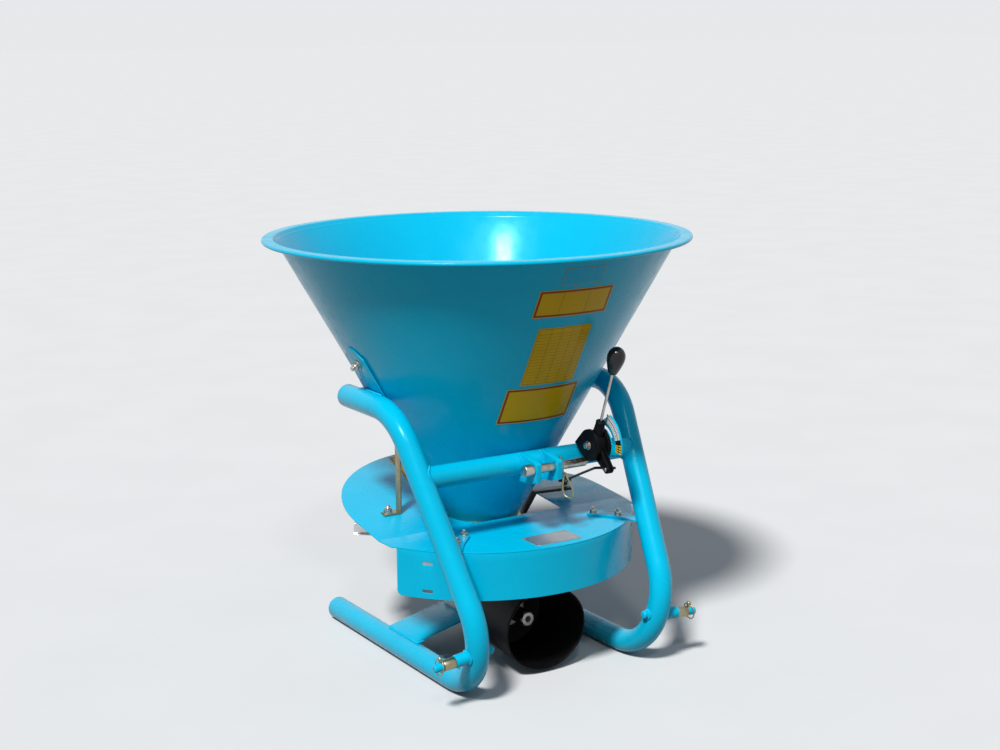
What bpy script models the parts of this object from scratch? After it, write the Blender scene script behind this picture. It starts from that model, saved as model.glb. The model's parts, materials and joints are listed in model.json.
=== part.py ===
"""Mounted cone fertilizer spreader: tube frame, hopper, shutter, gearbox and throwing disc.

Metres, +Z up. The origin lies on the ground under the hopper's axis, and +Y points
to the rear, away from the tractor. Every piece of the machine is an object of its own.
"""
import math

import bmesh
import bpy
from mathutils import Matrix, Vector

# Running and welding clearances
GAP = 0.0003
RUNNING = 0.0004

# Side frames: one bent tube on each side, leaning outwards as it rises
TUBE_RADIUS = 0.0254
TUBE_SIDES = 16
TUBE_BEND_RADIUS = 0.130
SPLAY = math.radians(6.6)
ARM_STAND_OFF = 0.033
ARM_HEIGHT = 0.584
ARM_END_Y = 0.090
ARM_CORNER_Y = -0.132
LEG_RAKE = math.radians(30.9)
SKID_END_Y = 0.301

# Cross members
CROSS_TUBE_RADIUS = 0.024
CROSS_TUBE_DROP = 0.127
CARRIER_WIDTH = 0.125
CARRIER_Y = -0.0175
CARRIER_THICKNESS = 0.005
CARRIER_TOP = 0.085
CARRIER_FLAT_HALF = 0.088
CARRIER_END_INSET = 0.003
CARRIER_BOLT_RADIUS = 0.004

# Hopper: a cone with a turned-out lip
RIM_RADIUS = 0.470
RIM_ABOVE_ARM = 0.345
NECK_INSET = 0.0276
LIP_DROP = 0.0035
BEAD = 0.0055
FOOT_RADIUS = 0.083
FOOT_BELOW_ARM = 0.295
SHEET = 0.0025
HOPPER_STEPS = 56

# Brackets that hold the hopper on the arms
GUSSET_THICKNESS = 0.0028
GUSSET_HALF_WIDTH = 0.045
GUSSET_REACH = 0.134
GUSSET_BOLT_REACH = 0.0987
GUSSET_BOLT_RADIUS = 0.004

# Outlet: fixed floor in a keeper ring, and the turning shutter under it
FLOOR_THICKNESS = 0.0025
SHUTTER_THICKNESS = 0.003
SHUTTER_RADIUS = 0.088
KEEPER_RADIUS = 0.094
KEEPER_WALL = 0.0025
PORT_COUNT = 2
PORT_INNER = 0.034
PORT_OUTER = 0.070
PORT_HALF_ANGLE = math.radians(17)
SHUTTER_REST = math.radians(-8.1)
SHUTTER_TRAVEL = math.radians(18.7)
SHUTTER_ARM_WIDTH = 0.024
SHUTTER_ARM_THICKNESS = 0.006
SHUTTER_ARM_RADIUS = 0.212
SHUTTER_ARM_RISE = 0.042
LINK_BOLT_RADIUS = 0.004
LINK_BOLT_RISE = 0.071
LINK_EYE_RISE = 0.057
LINK_EYE_CLEARANCE = 0.0056

# Disc guard: flat front plate with a skirt, and two lobes folded up behind it
GUARD_RADIUS = 0.342
GUARD_RISE = 0.017
GUARD_SHEET = 0.003
SKIRT_DEPTH = 0.105
SKIRT_CORNER = math.radians(28)
GUARD_INNER_HALF = 0.155
GUARD_FOLD_Y = -0.100
LOBE_RADIUS = 0.312
LEFT_LOBE_SLOPE = 0.165
RIGHT_LOBE_SLOPE = 0.095
LEFT_LOBE_END_X = -0.030
LEFT_LOBE_INNER = 0.122
RIGHT_LOBE_OUTER = 0.324
RIGHT_LOBE_END_Y = 0.150
SLOT_LENGTH = 0.024
SLOT_HEIGHT = 0.007
SLOT_ANGLE = math.radians(40)
SLOT_DROPS = (0.029, 0.089)

# Fixings of the guard
TAB_THICKNESS = 0.004
TAB_BOLTS = {
    "left": ((-0.148, -0.180), (-0.190, -0.222)),
    "right": ((0.181, -0.186), (0.218, -0.228)),
}
TAB_BOLT_RADIUS = 0.003
STRAP_X = -0.203
STRAP_Y = 0.010
STRAP_WIDTH = 0.016
STRAP_THICKNESS = 0.004
STRAP_FOOT = 0.040
STRAP_TOP_RUN = 0.045
STRAP_BOLT_INSET = 0.012
DATA_PLATE_SIZE = (0.113, 0.066, 0.001)
DATA_PLATE_XY = (0.004, -0.288)

# Hitch
PIN_ALONG_LEG_Z = 0.117
PIN_CORE_RADIUS = 0.009
PIN_BOSS_RADIUS = 0.0138
PIN_BOSS_LENGTH = 0.0275
PIN_LENGTH_OUT = 0.1035
PIN_LENGTH_IN = 0.038
SLEEVE_RADIUS = 0.0118
SLEEVE_PLAY = 0.0014
LINCH_AT = 0.086
LINCH_RADIUS = 0.003
LINCH_HALF_LENGTH = 0.0145
LINCH_RING_RADIUS = 0.0178
LINCH_RING_TILT = math.radians(12)
LINCH_RING_WIRE = 0.0014
LINCH_HEAD_RADIUS = 0.005
TOP_PIN_AHEAD = 0.063
TOP_PIN_RISE = 0.0005
TOP_PIN_RADIUS = 0.0095
TOP_PIN_HEAD_RADIUS = 0.0125
TOP_PIN_HEAD_LENGTH = 0.022
TOP_PIN_END_X = 0.102
LUG_THICKNESS = 0.012
LUG_INNER_HALF = 0.0205
LUG_AHEAD = 0.079
CLIP_WIRE = 0.0018
CLIP_LEAN = math.radians(14.4)
CLIP_OFFSET = 0.0085

# Control lever on the right of the cross tube
PIVOT_AHEAD = 0.072
PIVOT_RISE = 0.037
PIVOT_BOLT_RADIUS = 0.005
CLAMP_X = 0.103
CLAMP_THICKNESS = 0.0085
CLAMP_RADIUS = 0.0345
CLAMP_POINT = 0.0525
CLAMP_POINT_ANGLE = math.radians(-3)
HUB_THICKNESS = 0.019
HUB_RADIUS = 0.027
REAR_DISC_THICKNESS = 0.007
REAR_DISC_RADIUS = 0.036
SECTOR_THICKNESS = 0.004
SECTOR_RADIUS = 0.072
SECTOR_SLOT_RADIUS = 0.0385
SECTOR_SLOT_HALF_WIDTH = 0.0045
LEVER_LEAN = math.radians(20.5)
LEVER_ROD_RADIUS = 0.003
LEVER_BOSS_REACH = 0.058
LEVER_SOCKET_DEPTH = 0.022
LEVER_ROD_REACH = 0.186
KNOB_START = 0.172
KNOB_LENGTH = 0.066
KNOB_RADIUS = 0.0195
ARM_DROP_ANGLE = math.radians(48)
ARM_LENGTH = 0.066
ARM_PIN_RADIUS = 0.003
LINK_ROD_RADIUS = 0.003

# Drive: input shaft forward, output shaft up, one pair of bevel gears
DRIVE_HEIGHT = 0.100
GEAR_MODULE = 0.0032
INPUT_TEETH = 19
OUTPUT_TEETH = 14
GEAR_FACE = 0.011
TOOTH_SHARE = 0.35
HOUSING_HALF = 0.050
HOUSING_BOTTOM = 0.046
HOUSING_TOP = 0.150
HOUSING_WALL = 0.007
FRONT_NECK_RADIUS = 0.036
FRONT_FLANGE_RADIUS = 0.050
FRONT_NECK_END_Y = -0.115
TOP_NECK_RADIUS = 0.032
TOP_NECK_END = 0.182
FOOT_LENGTH = 0.028
FOOT_THICKNESS = 0.010
COVER_THICKNESS = 0.008
BEARING_WIDTH = 0.012
INPUT_SHAFT_RADIUS = 0.0130
SPLINE_RADIUS = 0.0174
SPLINE_COUNT = 6
SPLINE_DEPTH = 0.0028
SPLINE_END_Y = -0.198
OUTPUT_SHAFT_RADIUS = 0.0125
BEARING_RADIUS = 0.026
GUARD_TUBE_REAR_RADIUS = 0.084
GUARD_TUBE_MOUTH_RADIUS = 0.092
GUARD_TUBE_MOUTH_Y = -0.272
GUARD_TUBE_WALL = 0.003

# Throwing disc
DISC_RADIUS = 0.192
DISC_BELOW_FOOT = 0.061
DISC_SHEET = 0.0025
DISC_DISH = 0.0073
DISC_FLAT_RADIUS = 0.060
HUB_FLANGE_RADIUS = 0.045
VANE_COUNT = 4
VANE_INNER = 0.075
VANE_OUTER = 0.285
VANE_HEIGHT = 0.026
VANE_DEPTH = 0.018
VANE_SHEET = 0.002
VANE_OFFSET_ANGLE = math.radians(22)
VANE_START_ANGLE = math.radians(128)
AGITATOR_ABOVE_FOOT = 0.029
AGITATOR_REACH = 0.062
AGITATOR_RISE = 0.034
AGITATOR_HUB_RADIUS = 0.022
AGITATOR_HUB_LENGTH = 0.020
AGITATOR_WIRE = 0.005
SHAFT_ABOVE_FOOT = 0.056

# Values that follow from the ones above
SKID_AXIS = TUBE_RADIUS * math.cos(math.pi / TUBE_SIDES)
SIDE_LEAN = math.tan(SPLAY)
CROSS_TUBE_HEIGHT = ARM_HEIGHT - CROSS_TUBE_DROP
CROSS_TUBE_Y = ARM_CORNER_Y - CROSS_TUBE_DROP * math.tan(LEG_RAKE)
RIM_HEIGHT = ARM_HEIGHT + RIM_ABOVE_ARM
NECK_RADIUS = RIM_RADIUS - NECK_INSET
FOOT_HEIGHT = ARM_HEIGHT - FOOT_BELOW_ARM
CONE_SLOPE = (NECK_RADIUS - FOOT_RADIUS) / (RIM_HEIGHT - FOOT_HEIGHT)
CONE_ANGLE = math.atan(CONE_SLOPE)
HALF_TRACK = FOOT_RADIUS + CONE_SLOPE * FOOT_BELOW_ARM + ARM_STAND_OFF - SIDE_LEAN * ARM_HEIGHT
GUSSET_LOW = FOOT_BELOW_ARM / math.cos(CONE_ANGLE)
GUSSET_HIGH = GUSSET_LOW + GUSSET_REACH
GUSSET_BOLT_AT = GUSSET_LOW + GUSSET_BOLT_REACH
FLOOR_TOP = FOOT_HEIGHT - GAP
SHUTTER_TOP = FLOOR_TOP - FLOOR_THICKNESS - RUNNING
SHUTTER_ARM_TOP = FOOT_HEIGHT + SHUTTER_ARM_RISE
LINK_BOLT_TOP = FOOT_HEIGHT + LINK_BOLT_RISE
LINK_EYE_HEIGHT = FOOT_HEIGHT + LINK_EYE_RISE
GUARD_TOP = FOOT_HEIGHT + GUARD_RISE
SKIRT_BOTTOM = GUARD_TOP - SKIRT_DEPTH
DISC_HEIGHT = FOOT_HEIGHT - DISC_BELOW_FOOT
AGITATOR_HEIGHT = FOOT_HEIGHT + AGITATOR_ABOVE_FOOT
SHAFT_TOP = FOOT_HEIGHT + SHAFT_ABOVE_FOOT
TOP_PIN_Y = CROSS_TUBE_Y - TOP_PIN_AHEAD
TOP_PIN_Z = CROSS_TUBE_HEIGHT + TOP_PIN_RISE
LUG_FRONT_Y = CROSS_TUBE_Y - LUG_AHEAD
PIVOT_Y = CROSS_TUBE_Y - PIVOT_AHEAD
PIVOT_Z = CROSS_TUBE_HEIGHT + PIVOT_RISE
ARM_DIRECTION = Vector((0.0, -math.sin(ARM_DROP_ANGLE), -math.cos(ARM_DROP_ANGLE)))


def leg_y(height):
    """Y of the straight leg's axis at a height."""
    return ARM_CORNER_Y - (ARM_HEIGHT - height) * math.tan(LEG_RAKE)


def side_x(height):
    """Distance of a side frame's plane from the machine's middle at a height."""
    return HALF_TRACK + SIDE_LEAN * height


def cone_radius(height):
    """Outer radius of the hopper's wall at a height."""
    return FOOT_RADIUS + CONE_SLOPE * (height - FOOT_HEIGHT)


# Scene, collections and finishes
for stray in list(bpy.data.objects):
    bpy.data.objects.remove(stray, do_unlink=True)

PARTS = bpy.data.collections.new("fertilizer_spreader")
CUTTERS = bpy.data.collections.new("cutters")
for collection in (PARTS, CUTTERS):
    bpy.context.scene.collection.children.link(collection)


def finish(name, colour, roughness, metallic):
    """A Principled material."""
    made = bpy.data.materials.new(name)
    made.use_nodes = True
    shader = made.node_tree.nodes["Principled BSDF"]
    shader.inputs["Base Color"].default_value = (*colour, 1.0)
    shader.inputs["Roughness"].default_value = roughness
    shader.inputs["Metallic"].default_value = metallic
    return made


ENAMEL = finish("blue_enamel", (0.0, 0.40, 0.72), 0.22, 0.0)
ZINC = finish("yellow_zinc", (0.55, 0.48, 0.30), 0.35, 1.0)
BRIGHT = finish("bright_zinc", (0.70, 0.71, 0.72), 0.30, 1.0)
STAINLESS = finish("stainless", (0.72, 0.72, 0.73), 0.18, 1.0)
ALUMINIUM = finish("aluminium_plate", (0.62, 0.63, 0.64), 0.40, 1.0)
CASTING = finish("cast_aluminium", (0.50, 0.51, 0.52), 0.55, 1.0)
STEEL = finish("machined_steel", (0.45, 0.45, 0.46), 0.35, 1.0)
BLACK_PLASTIC = finish("black_plastic", (0.012, 0.012, 0.013), 0.45, 0.0)
GLOSS_BLACK = finish("gloss_black", (0.008, 0.008, 0.010), 0.12, 0.0)
BLACK_STEEL = finish("black_steel", (0.020, 0.020, 0.022), 0.40, 0.6)


# Modelling helpers
def dress(piece, coat):
    """Give a piece its material and smooth shading between sharp edges."""
    piece.data.materials.clear()
    piece.data.materials.append(coat)
    if isinstance(piece.data, bpy.types.Mesh):
        piece.data.shade_smooth()
        piece.data.set_sharp_from_angle(angle=math.radians(35))
    return piece


def place_mesh(name, mesh, coat, place=Matrix.Identity(4)):
    """A new object in the part's collection."""
    piece = bpy.data.objects.new(name, mesh)
    piece.matrix_world = place
    PARTS.objects.link(piece)
    if coat is not None:
        dress(piece, coat)
    return piece


def frame_at(origin, z_axis, x_axis):
    """A placement whose Z and X point along two directions."""
    along = Vector(z_axis).normalized()
    across = (Vector(x_axis) - Vector(x_axis).dot(along) * along).normalized()
    side = along.cross(across)
    turn = Matrix((across, side, along)).transposed().to_4x4()
    return Matrix.Translation(Vector(origin)) @ turn


def turned(name, profile, coat, steps, place=Matrix.Identity(4), ring=False):
    """A turned piece. The profile (radius, height) runs down the outer side."""
    mesh = bpy.data.meshes.new(name)
    points = [(radius, 0.0, height) for radius, height in profile]
    edges = [(i, i + 1) for i in range(len(points) - 1)]
    if ring:
        edges.append((len(points) - 1, 0))
    mesh.from_pydata(points, edges, [])
    piece = place_mesh(name, mesh, coat, place)
    screw = piece.modifiers.new("turn", "SCREW")
    screw.axis = "Z"
    screw.angle = 2 * math.pi
    screw.steps = steps
    screw.render_steps = steps
    screw.use_merge_vertices = True
    screw.merge_threshold = 0.00001
    screw.use_smooth_shade = True
    return piece


def washer(name, outer, inner, low, high, coat, steps, place=Matrix.Identity(4)):
    """A plain ring between two heights."""
    profile = [(inner, high), (outer, high), (outer, low), (inner, low)]
    return turned(name, profile, coat, steps, place, ring=True)


def outline_curve(name, outlines, depth):
    """A filled 2D curve with holes, extruded about its own plane."""
    curve = bpy.data.curves.new(name, "CURVE")
    curve.dimensions = "2D"
    curve.fill_mode = "BOTH"
    curve.extrude = depth / 2
    for outline in outlines:
        spline = curve.splines.new("POLY")
        spline.points.add(len(outline) - 1)
        for point, (x, y) in zip(spline.points, outline):
            point.co = (x, y, 0.0, 1.0)
        spline.use_cyclic_u = True
    return curve


def as_mesh(piece, coat):
    """Replace a curve object by the closed mesh that it makes."""
    bpy.context.view_layer.update()
    seen = piece.evaluated_get(bpy.context.evaluated_depsgraph_get())
    mesh = bpy.data.meshes.new_from_object(seen)
    body = bmesh.new()
    body.from_mesh(mesh)
    bmesh.ops.remove_doubles(body, verts=body.verts, dist=0.00001)
    bmesh.ops.recalc_face_normals(body, faces=body.faces)
    body.to_mesh(mesh)
    body.free()
    name = piece.name
    place = piece.matrix_world.copy()
    bpy.data.objects.remove(piece, do_unlink=True)
    return place_mesh(name, mesh, coat, place)


def flat(name, outlines, depth, coat, place=Matrix.Identity(4)):
    """A flat piece cut from sheet, centred on its own plane."""
    piece = bpy.data.objects.new(name, outline_curve(name, outlines, depth))
    piece.matrix_world = place
    PARTS.objects.link(piece)
    return as_mesh(piece, coat)


def rod(name, points, radius, coat, resolution=2, tilt=0.0, closed=False, place=Matrix.Identity(4)):
    """A round bar or tube along a path."""
    curve = bpy.data.curves.new(name, "CURVE")
    curve.dimensions = "3D"
    curve.bevel_depth = radius
    curve.bevel_resolution = resolution
    curve.use_fill_caps = not closed
    spline = curve.splines.new("POLY")
    spline.points.add(len(points) - 1)
    for point, place_at in zip(spline.points, points):
        point.co = (*place_at, 1.0)
        point.tilt = tilt
    spline.use_cyclic_u = closed
    piece = bpy.data.objects.new(name, curve)
    piece.matrix_world = place
    PARTS.objects.link(piece)
    return as_mesh(piece, coat)


def box(name, low, high, coat, place=Matrix.Identity(4)):
    """A block between two corners."""
    mesh = bpy.data.meshes.new(name)
    body = bmesh.new()
    bmesh.ops.create_cube(body, size=1.0)
    size = [top - bottom for bottom, top in zip(low, high)]
    middle = [(top + bottom) / 2 for bottom, top in zip(low, high)]
    bmesh.ops.scale(body, vec=size, verts=body.verts)
    bmesh.ops.translate(body, vec=middle, verts=body.verts)
    body.to_mesh(mesh)
    body.free()
    return place_mesh(name, mesh, coat, place)


def cylinder(name, radius, low, high, steps, place=Matrix.Identity(4)):
    """A plain round bar between two heights, used for cutting and joining."""
    profile = [(0.0, high), (radius, high), (radius, low), (0.0, low)]
    return turned(name, profile, None, steps, place)


def to_cutters(piece):
    """Move a helper shape out of the part."""
    PARTS.objects.unlink(piece)
    CUTTERS.objects.link(piece)
    piece.hide_render = True
    piece.display_type = "WIRE"
    return piece


def boolean(piece, other, operation):
    """Cut a helper shape out of a piece, or join it to the piece."""
    step = piece.modifiers.new(operation.lower(), "BOOLEAN")
    step.operation = operation
    step.solver = "EXACT"
    step.object = to_cutters(other)
    return piece


def cut(piece, other):
    return boolean(piece, other, "DIFFERENCE")


def join(piece, other):
    return boolean(piece, other, "UNION")


def arc(centre, radius, start, end, steps):
    """Points along an arc in a plane."""
    turn = (end - start) / steps
    return [(centre[0] + radius * math.cos(start + turn * i),
             centre[1] + radius * math.sin(start + turn * i)) for i in range(steps + 1)]


def bore(radius, steps):
    """Corner radius of a bore whose flats stay clear of a shaft of the given radius."""
    return (radius + GAP) / math.cos(math.pi / steps)


def ring_points(centre, radius, steps):
    return arc(centre, radius, 0.0, 2 * math.pi, steps)[:-1]


def rounded(corners, radii, steps):
    """An open path in a plane with its inner corners rounded."""
    path = [Vector(corners[0])]
    for before, corner, after, radius, count in zip(corners, corners[1:], corners[2:], radii, steps):
        here = Vector(corner)
        back = (Vector(before) - here).normalized()
        ahead = (Vector(after) - here).normalized()
        half = back.angle(ahead) / 2
        reach = radius / math.tan(half)
        centre = here + (back + ahead).normalized() * radius / math.sin(half)
        first = here + back * reach - centre
        sweep = math.pi - 2 * half
        sense = 1.0 if back.x * ahead.y - back.y * ahead.x < 0 else -1.0
        for i in range(count + 1):
            path.append(centre + Matrix.Rotation(sense * sweep * i / count, 2) @ first)
    path.append(Vector(corners[-1]))
    return path


def bolt(name, radius, grip_low, grip_high, head, nut, coat, place, steps=12):
    """A bolt with a low head below its grip and a domed nut on a washer above it."""
    head_radius, head_height = head
    nut_radius, nut_height = nut
    top = grip_high + GAP
    bottom = grip_low - GAP
    profile = [
        (0.0, top + nut_height * 1.9),
        (nut_radius * 0.55, top + nut_height * 1.7),
        (nut_radius * 0.92, top + nut_height * 1.2),
        (nut_radius, top + nut_height),
        (nut_radius, top + nut_height * 0.2),
        (nut_radius * 1.35, top + nut_height * 0.2),
        (nut_radius * 1.35, top),
        (radius, top),
        (radius, bottom),
        (head_radius, bottom),
        (head_radius, bottom - head_height),
        (0.0, bottom - head_height),
    ]
    return turned(name, profile, coat, steps, place)


# Side frames: arm, leg and skid are one bent tube on each side
def side_place(sign):
    """Maps a side frame's own plane (y, distance up the plane) into the machine."""
    up = Vector((sign * math.sin(SPLAY), 0.0, math.cos(SPLAY)))
    return frame_at((sign * HALF_TRACK, 0.0, 0.0), Vector((0.0, 1.0, 0.0)).cross(up), (0.0, 1.0, 0.0))


def side_path():
    """Axis of the side tube in its own plane."""
    rise = 1.0 / math.cos(SPLAY)
    corners = [
        (ARM_END_Y, ARM_HEIGHT * rise),
        (ARM_CORNER_Y, ARM_HEIGHT * rise),
        (leg_y(SKID_AXIS), SKID_AXIS * rise),
        (SKID_END_Y, SKID_AXIS * rise),
    ]
    return rounded(corners, (TUBE_BEND_RADIUS, TUBE_BEND_RADIUS), (6, 11))


def pin_place(sign):
    """Placement with +Z outboard along a lower pin and +X up the side frame."""
    outboard = Vector((sign * math.cos(SPLAY), 0.0, -math.sin(SPLAY)))
    up = Vector((sign * math.sin(SPLAY), 0.0, math.cos(SPLAY)))
    bend_centre_y = leg_y(SKID_AXIS) + TUBE_BEND_RADIUS / math.tan((math.pi / 2 - LEG_RAKE) / 2)
    bend_centre_z = SKID_AXIS + TUBE_BEND_RADIUS
    drop = bend_centre_z - PIN_ALONG_LEG_Z
    pin_y = bend_centre_y - math.sqrt(TUBE_BEND_RADIUS ** 2 - drop ** 2)
    return frame_at((sign * side_x(PIN_ALONG_LEG_Z), pin_y, PIN_ALONG_LEG_Z), outboard, up)


def leg_cutter(name, sign, clearance):
    """A straight bar along a leg, for the saddles of what is welded to it."""
    foot = ARM_HEIGHT * 0.35
    head = ARM_HEIGHT * 0.94
    low = Vector((sign * side_x(foot), leg_y(foot), foot))
    high = Vector((sign * side_x(head), leg_y(head), head))
    along = high - low
    return cylinder(name, TUBE_RADIUS + clearance, 0.0, along.length, 32,
                    frame_at(low, along, (0.0, 1.0, 0.0)))


def build_side_frame(side, sign):
    points = [(point.x, point.y, 0.0) for point in side_path()]
    facet_turn = math.pi / TUBE_SIDES - sign * SPLAY
    tube = rod("side_tube_" + side, points, TUBE_RADIUS, ENAMEL, TUBE_SIDES // 2 - 2,
               tilt=facet_turn, place=side_place(sign))
    place = pin_place(sign)
    cut(tube, cylinder("cut_pin_" + side, PIN_CORE_RADIUS + GAP, -0.05, 0.05, 16, place))

    boss_start = TUBE_RADIUS + GAP
    boss_end = boss_start + PIN_BOSS_LENGTH
    core = PIN_CORE_RADIUS
    boss = PIN_BOSS_RADIUS
    profile = [
        (0.0, PIN_LENGTH_OUT),
        (core * 0.8, PIN_LENGTH_OUT),
        (core, PIN_LENGTH_OUT - 0.002),
        (core, boss_end),
        (boss * 0.9, boss_end),
        (boss, boss_end - 0.002),
        (boss, boss_start),
        (core, boss_start),
        (core, -PIN_LENGTH_IN + 0.004),
        (core * 0.8, -PIN_LENGTH_IN + 0.001),
        (core * 0.4, -PIN_LENGTH_IN),
        (0.0, -PIN_LENGTH_IN),
    ]
    pin = turned("lower_pin_" + side, profile, ENAMEL, 16, place)
    through = place @ Matrix.Translation((0.0, 0.0, LINCH_AT)) @ Matrix.Rotation(math.pi / 2, 4, "Y")
    cut(pin, cylinder("cut_linch_" + side, LINCH_RADIUS + GAP, -0.03, 0.03, 10, through))
    washer("lower_sleeve_" + side, SLEEVE_RADIUS, PIN_CORE_RADIUS + RUNNING, boss_end + GAP,
           LINCH_AT - LINCH_RADIUS - SLEEVE_PLAY, BRIGHT, 20, place)

    head_at = LINCH_RING_RADIUS
    head = LINCH_HEAD_RADIUS
    linch_profile = [
        (0.0, head_at + head),
        (head * 0.75, head_at + head * 0.66),
        (head, head_at),
        (head * 0.75, head_at - head * 0.66),
        (LINCH_RADIUS, LINCH_HALF_LENGTH - 0.003),
        (LINCH_RADIUS, -LINCH_HALF_LENGTH + 0.002),
        (LINCH_RADIUS * 0.6, -LINCH_HALF_LENGTH),
        (0.0, -LINCH_HALF_LENGTH),
    ]
    turned("linch_pin_" + side, linch_profile, ZINC, 10, through)
    opening = (head + GAP * 0.5) / LINCH_RING_RADIUS
    ring_path = arc((0.0, 0.0), LINCH_RING_RADIUS, opening, 2 * math.pi - opening, 18)
    at_head = place @ Matrix.Translation((LINCH_RING_RADIUS, 0.0, LINCH_AT))
    swung = Matrix.Rotation(LINCH_RING_TILT, 4, "Y")
    rod("linch_ring_" + side, [(x - LINCH_RING_RADIUS, y, 0.0) for x, y in ring_path], LINCH_RING_WIRE,
        ZINC, 1, place=at_head @ swung)


# Cross members
def build_cross_tube():
    half = side_x(CROSS_TUBE_HEIGHT)
    place = frame_at((0.0, leg_y(CROSS_TUBE_HEIGHT), CROSS_TUBE_HEIGHT), (1.0, 0.0, 0.0), (0.0, 0.0, 1.0))
    tube = turned("cross_tube", [(0.0, half), (CROSS_TUBE_RADIUS, half), (CROSS_TUBE_RADIUS, -half),
                                 (0.0, -half)], ENAMEL, 24, place)
    for side, sign in (("left", -1), ("right", 1)):
        cut(tube, leg_cutter("cut_saddle_" + side, sign, GAP))


def cross_tube_cutter(name, clearance):
    place = frame_at((0.0, leg_y(CROSS_TUBE_HEIGHT), CROSS_TUBE_HEIGHT), (1.0, 0.0, 0.0), (0.0, 0.0, 1.0))
    reach = side_x(CROSS_TUBE_HEIGHT)
    return cylinder(name, CROSS_TUBE_RADIUS + clearance, -reach, reach, 32, place)


def build_carrier(side, sign):
    """The cranked flat bar from a skid to one side of the gearbox, with its bolt."""
    end_x = side_x(SKID_AXIS) - CARRIER_END_INSET
    end_z = 2 * SKID_AXIS + GAP
    start_x = HOUSING_HALF + 0.001
    t = CARRIER_THICKNESS
    outline = [
        (start_x, CARRIER_TOP - t), (CARRIER_FLAT_HALF + t * 0.2, CARRIER_TOP - t), (end_x, end_z),
        (end_x, end_z + t), (CARRIER_FLAT_HALF, CARRIER_TOP), (start_x, CARRIER_TOP),
    ]
    place = frame_at((0.0, CARRIER_Y, 0.0), (0.0, -sign, 0.0), (sign, 0.0, 0.0))
    wing = flat("gearbox_carrier_" + side, [outline], CARRIER_WIDTH, ENAMEL, place)
    middle = sign * (HOUSING_HALF + FOOT_LENGTH * 0.55)
    spot = Matrix.Translation((middle, CARRIER_Y, 0.0))
    hole = cylinder("cut_carrier_" + side, CARRIER_BOLT_RADIUS + GAP, 0.06, 0.12, 12, spot)
    cut(wing, hole)
    bolt("carrier_bolt_" + side, CARRIER_BOLT_RADIUS, CARRIER_TOP - t, CARRIER_TOP + GAP + FOOT_THICKNESS,
         (0.0085, 0.005), (0.0070, 0.006), BRIGHT, spot)


# Hopper with its fixings
def build_hopper():
    wall = SHEET / math.cos(CONE_ANGLE)
    lip_z = RIM_HEIGHT - LIP_DROP
    lip_end = RIM_RADIUS
    profile = [
        (NECK_RADIUS - wall, RIM_HEIGHT - SHEET * 0.4),
        (NECK_RADIUS + 0.001, RIM_HEIGHT),
        (lip_end - BEAD, lip_z + SHEET),
        (lip_end - BEAD * 0.3, lip_z + SHEET * 0.7),
        (lip_end, lip_z),
        (lip_end - BEAD * 0.3, lip_z - BEAD * 0.6),
        (lip_end - BEAD, lip_z - BEAD * 0.7),
        (lip_end - BEAD * 1.5, lip_z - SHEET * 0.6),
        (cone_radius(RIM_HEIGHT - LIP_DROP), RIM_HEIGHT - LIP_DROP),
        (FOOT_RADIUS, FOOT_HEIGHT),
        (FOOT_RADIUS - wall, FOOT_HEIGHT),
    ]
    hopper = turned("hopper", profile, ENAMEL, HOPPER_STEPS, ring=True)
    for side, sign in (("left", -1), ("right", 1)):
        cut(hopper, cylinder("cut_hopper_bolt_" + side, GUSSET_BOLT_RADIUS + GAP, -0.02, 0.02, 12,
                             wall_place(sign, GUSSET_BOLT_AT, 0.0)))


def wall_place(sign, along, proud):
    """Placement on the cone's side: +Z out of the wall, +Y up the wall."""
    outward = Vector((sign * math.cos(CONE_ANGLE), 0.0, -math.sin(CONE_ANGLE)))
    up = Vector((sign * math.sin(CONE_ANGLE), 0.0, math.cos(CONE_ANGLE)))
    origin = Vector((sign * FOOT_RADIUS, 0.0, FOOT_HEIGHT)) + up * along + outward * proud
    return frame_at(origin, outward, up.cross(outward))


def build_gusset(side, sign):
    half = GUSSET_HALF_WIDTH
    low = GUSSET_LOW - GUSSET_BOLT_AT
    high = GUSSET_HIGH - GUSSET_BOLT_AT
    outline = [(-half, low), (half, low), (half * 0.92, high - 0.016)]
    outline += arc((0.0, high - 0.026), half * 0.78, math.radians(35), math.radians(145), 6)
    outline += [(-half * 0.92, high - 0.016)]
    hole = ring_points((0.0, 0.0), GUSSET_BOLT_RADIUS + GAP, 12)
    place = wall_place(sign, GUSSET_BOLT_AT, GAP + GUSSET_THICKNESS / 2)
    flat("hopper_gusset_" + side, [outline, hole], GUSSET_THICKNESS, ENAMEL, place)
    bolt("gusset_bolt_" + side, GUSSET_BOLT_RADIUS, -SHEET - 0.0004, GAP + GUSSET_THICKNESS,
         (0.0075, 0.004), (0.0068, 0.0075), BRIGHT, wall_place(sign, GUSSET_BOLT_AT, 0.0))


# Outlet and shutter
def port_outlines(turn):
    """The sector-shaped ports of the floor or of the shutter."""
    ports = []
    for k in range(PORT_COUNT):
        middle = turn + 2 * math.pi * k / PORT_COUNT + math.pi / 2
        outer = arc((0.0, 0.0), PORT_OUTER, middle - PORT_HALF_ANGLE, middle + PORT_HALF_ANGLE, 6)
        inner = arc((0.0, 0.0), PORT_INNER, middle + PORT_HALF_ANGLE, middle - PORT_HALF_ANGLE, 4)
        ports.append(outer + inner)
    return ports


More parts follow.
